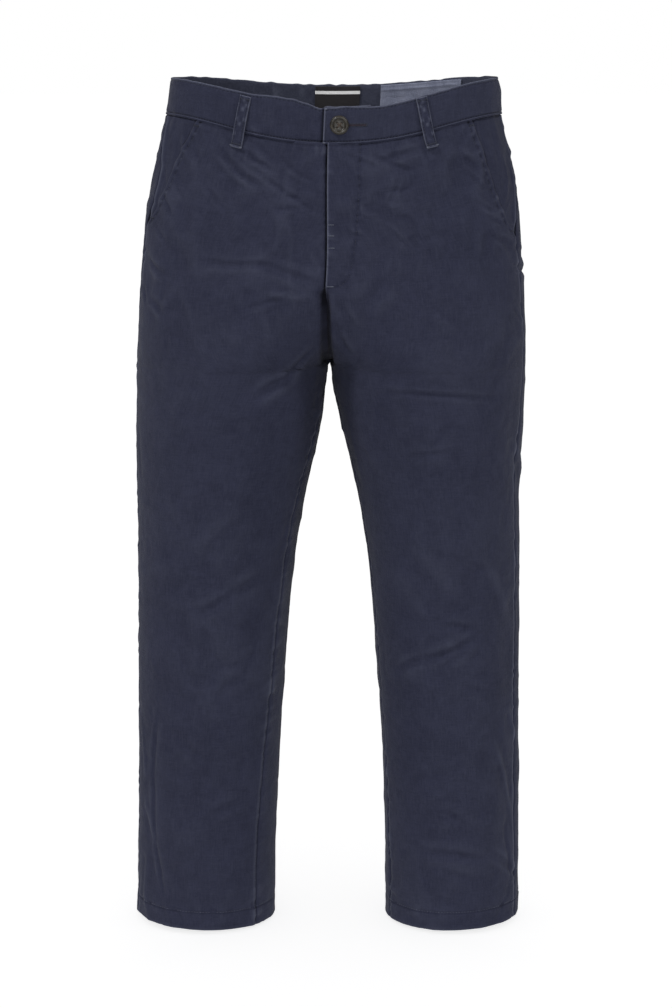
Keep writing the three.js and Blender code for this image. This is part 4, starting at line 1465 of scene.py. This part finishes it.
def make_label():
    """Woven tape: near black satin with fine ribs, and a white woven line near its top."""
    paint = Paint("label_satin", Roughness=0.5, Sheen_Weight=0.08, Specular_IOR_Level=0.2)
    uv, u, v = paint.cloth()
    ribs = (v * (2 * pi / 0.00035)).sine() * 0.5 + 0.5
    grain = (u * (2 * pi / 0.0003)).sine() * 0.5 + 0.5
    line = (v + 0.0086).between(0.0, 0.0003) * (1 - (v + 0.0052).between(0.0, 0.0003))
    tape = paint.blend(ribs * 0.5, rgb(0.015, 0.0135, 0.016), rgb(0.028, 0.025, 0.028))
    white = paint.blend(ribs * grain, rgb(0.8, 0.8, 0.8), rgb(0.95, 0.95, 0.95))
    return paint.feed(Base_Color=paint.blend(line, tape, white),
                      Normal=paint.bump(ribs + grain * 0.5, 0.5, 0.0001))


def make_chambray():
    """Chambray: blue yarns one way and white the other, with slubs and soft clouds."""
    paint = Paint("chambray_cloth", Roughness=0.85, Sheen_Weight=0.08, Specular_IOR_Level=0.2)
    uv, u, v = paint.cloth()
    place = paint.place()
    over = (u * (2 * pi / 0.0007)).sine() * (v * (2 * pi / 0.0007)).sine() * 0.5 + 0.5
    slub = paint.noise(paint.stretched(uv, 2600.0, 130.0, 1.0), 1.0, 3.0)
    slub_across = paint.noise(paint.stretched(uv, 130.0, 2600.0, 1.0), 1.0, 3.0)
    clouds = paint.noise(place, 90.0, 3.0)
    amount = over * 0.35 + slub * 0.35 + slub_across * 0.3 + clouds * 0.35
    colour = paint.blend(amount.between(0.4, 0.95),
                         rgb(0.085, 0.096, 0.15), rgb(0.27, 0.29, 0.38))
    return paint.feed(Base_Color=colour,
                      Normal=paint.bump(over * 0.5 + slub + slub_across, 0.6, 0.00025))


tone_thread = make_thread("navy_thread", rgb(0.012, 0.014, 0.026), rgb(0.028, 0.031, 0.048))
pale_thread = make_thread("worn_thread", rgb(0.06, 0.065, 0.09), rgb(0.13, 0.14, 0.18))
seam_thread = make_thread("faded_thread", rgb(0.03, 0.033, 0.05), rgb(0.065, 0.07, 0.10))
slit_thread = make_thread("rust_thread", rgb(0.024, 0.014, 0.019), rgb(0.045, 0.024, 0.028))
button_thread = make_thread("button_tie", rgb(0.035, 0.024, 0.020), rgb(0.085, 0.065, 0.05))
horn, satin, chambray = make_horn(), make_label(), make_chambray()

dressings = [(piece, twill, "twill") for piece in (*panels.values(), *bands.values(), *loops)]
dressings += [(stitching, tone_thread, "twill"), (tacks, pale_thread, "twill"),
              (seam_stitching, seam_thread, "twill"), (buttonhole, tone_thread, "twill"),
              (slot_gimp, slit_thread, "twill"), (button, horn, "horn"),
              (shank, button_thread, "horn"), (label, satin, "label"),
              (patch, chambray, "chambray")]
for piece, material, slot in dressings:
    piece.data.materials.append(material)
print(len(dressings), "pieces finished")

# %% [markdown]
# ## Floor, light and camera
# The picture is a cut-out on white with a faint shadow under the hems. A plain white floor that
# glows a little keeps that: the glow holds it white, and the shadow stays soft. The world is
# white to the camera and dimmer as a light. Four broad suns, the strongest from the upper left,
# give the cloth its slight turn of light and pass the floor by.

# %% Set the stage
FLOOR, FLOOR_REACH, WORLD_LIGHT = -0.9272, 30.0, 0.27
floor_mesh = bpy.data.meshes.new("studio_floor")
corners = [(x * FLOOR_REACH, y * FLOOR_REACH, FLOOR)
           for x, y in ((-1, -1), (1, -1), (1, 1), (-1, 1))]
floor_mesh.from_pydata(corners, [], [(0, 1, 2, 3)])
floor = bpy.data.objects.new("studio_floor", floor_mesh)
bpy.context.collection.objects.link(floor)
floor_paint = Paint("studio_white", Roughness=1.0, Specular_IOR_Level=0.0,
                    Base_Color=rgb(0.9, 0.9, 0.9), Emission_Color=rgb(1, 1, 1),
                    Emission_Strength=0.80)
floor_mesh.materials.append(floor_paint.material)

world = bpy.data.worlds.new("studio_world")
world.use_nodes = True
backdrop = world.node_tree.nodes["Background"]
backdrop.inputs["Color"].default_value = rgb(1, 1, 1)
seen = world.node_tree.nodes.new("ShaderNodeLightPath")
level = world.node_tree.nodes.new("ShaderNodeMapRange")  # dim as light, and 1 where it is seen
level.inputs["To Min"].default_value, level.inputs["To Max"].default_value = WORLD_LIGHT, 1.0
world.node_tree.links.new(seen.outputs["Is Camera Ray"], level.inputs["Value"])
world.node_tree.links.new(level.outputs["Result"], backdrop.inputs["Strength"])
bpy.context.scene.world = world

lit = bpy.data.collections.new("not_lit_by_lamps")
lit.objects.link(floor)
lit.collection_objects[0].light_linking.link_state = "EXCLUDE"


def sun(name, strength, spread, toward):
    """A sun lamp shining along a direction, with soft edges, which passes the floor by."""
    lamp = bpy.data.lights.new(name, "SUN")
    lamp.energy, lamp.angle = strength, np.radians(spread)
    made = bpy.data.objects.new(name, lamp)
    made.rotation_euler = Vector(toward).to_track_quat("-Z", "Y").to_euler()
    made.light_linking.receiver_collection = lit
    bpy.context.collection.objects.link(made)


sun("left_light", 1.9, 10, (0.50, 0.34, -0.80))
sun("right_light", 1.25, 10, (-0.55, 0.30, -0.78))
sun("front_light", 0.8, 40, (0.0, 0.92, -0.28))
sun("back_light", 1.0, 50, (0.2, -0.8, -0.5))

camera_data = bpy.data.cameras.new("camera")
camera_data.lens, camera_data.sensor_width, camera_data.clip_end = 80.71, 36.0, 100.0
camera = bpy.data.objects.new("camera", camera_data)
camera.location = (0.0, -2.4, 0.0545)
camera.rotation_euler = (np.radians(78.0), 0.0, 0.0)
bpy.context.collection.objects.link(camera)
bpy.context.scene.camera = camera
bpy.context.scene.view_settings.view_transform = "Standard"
print("stage set")
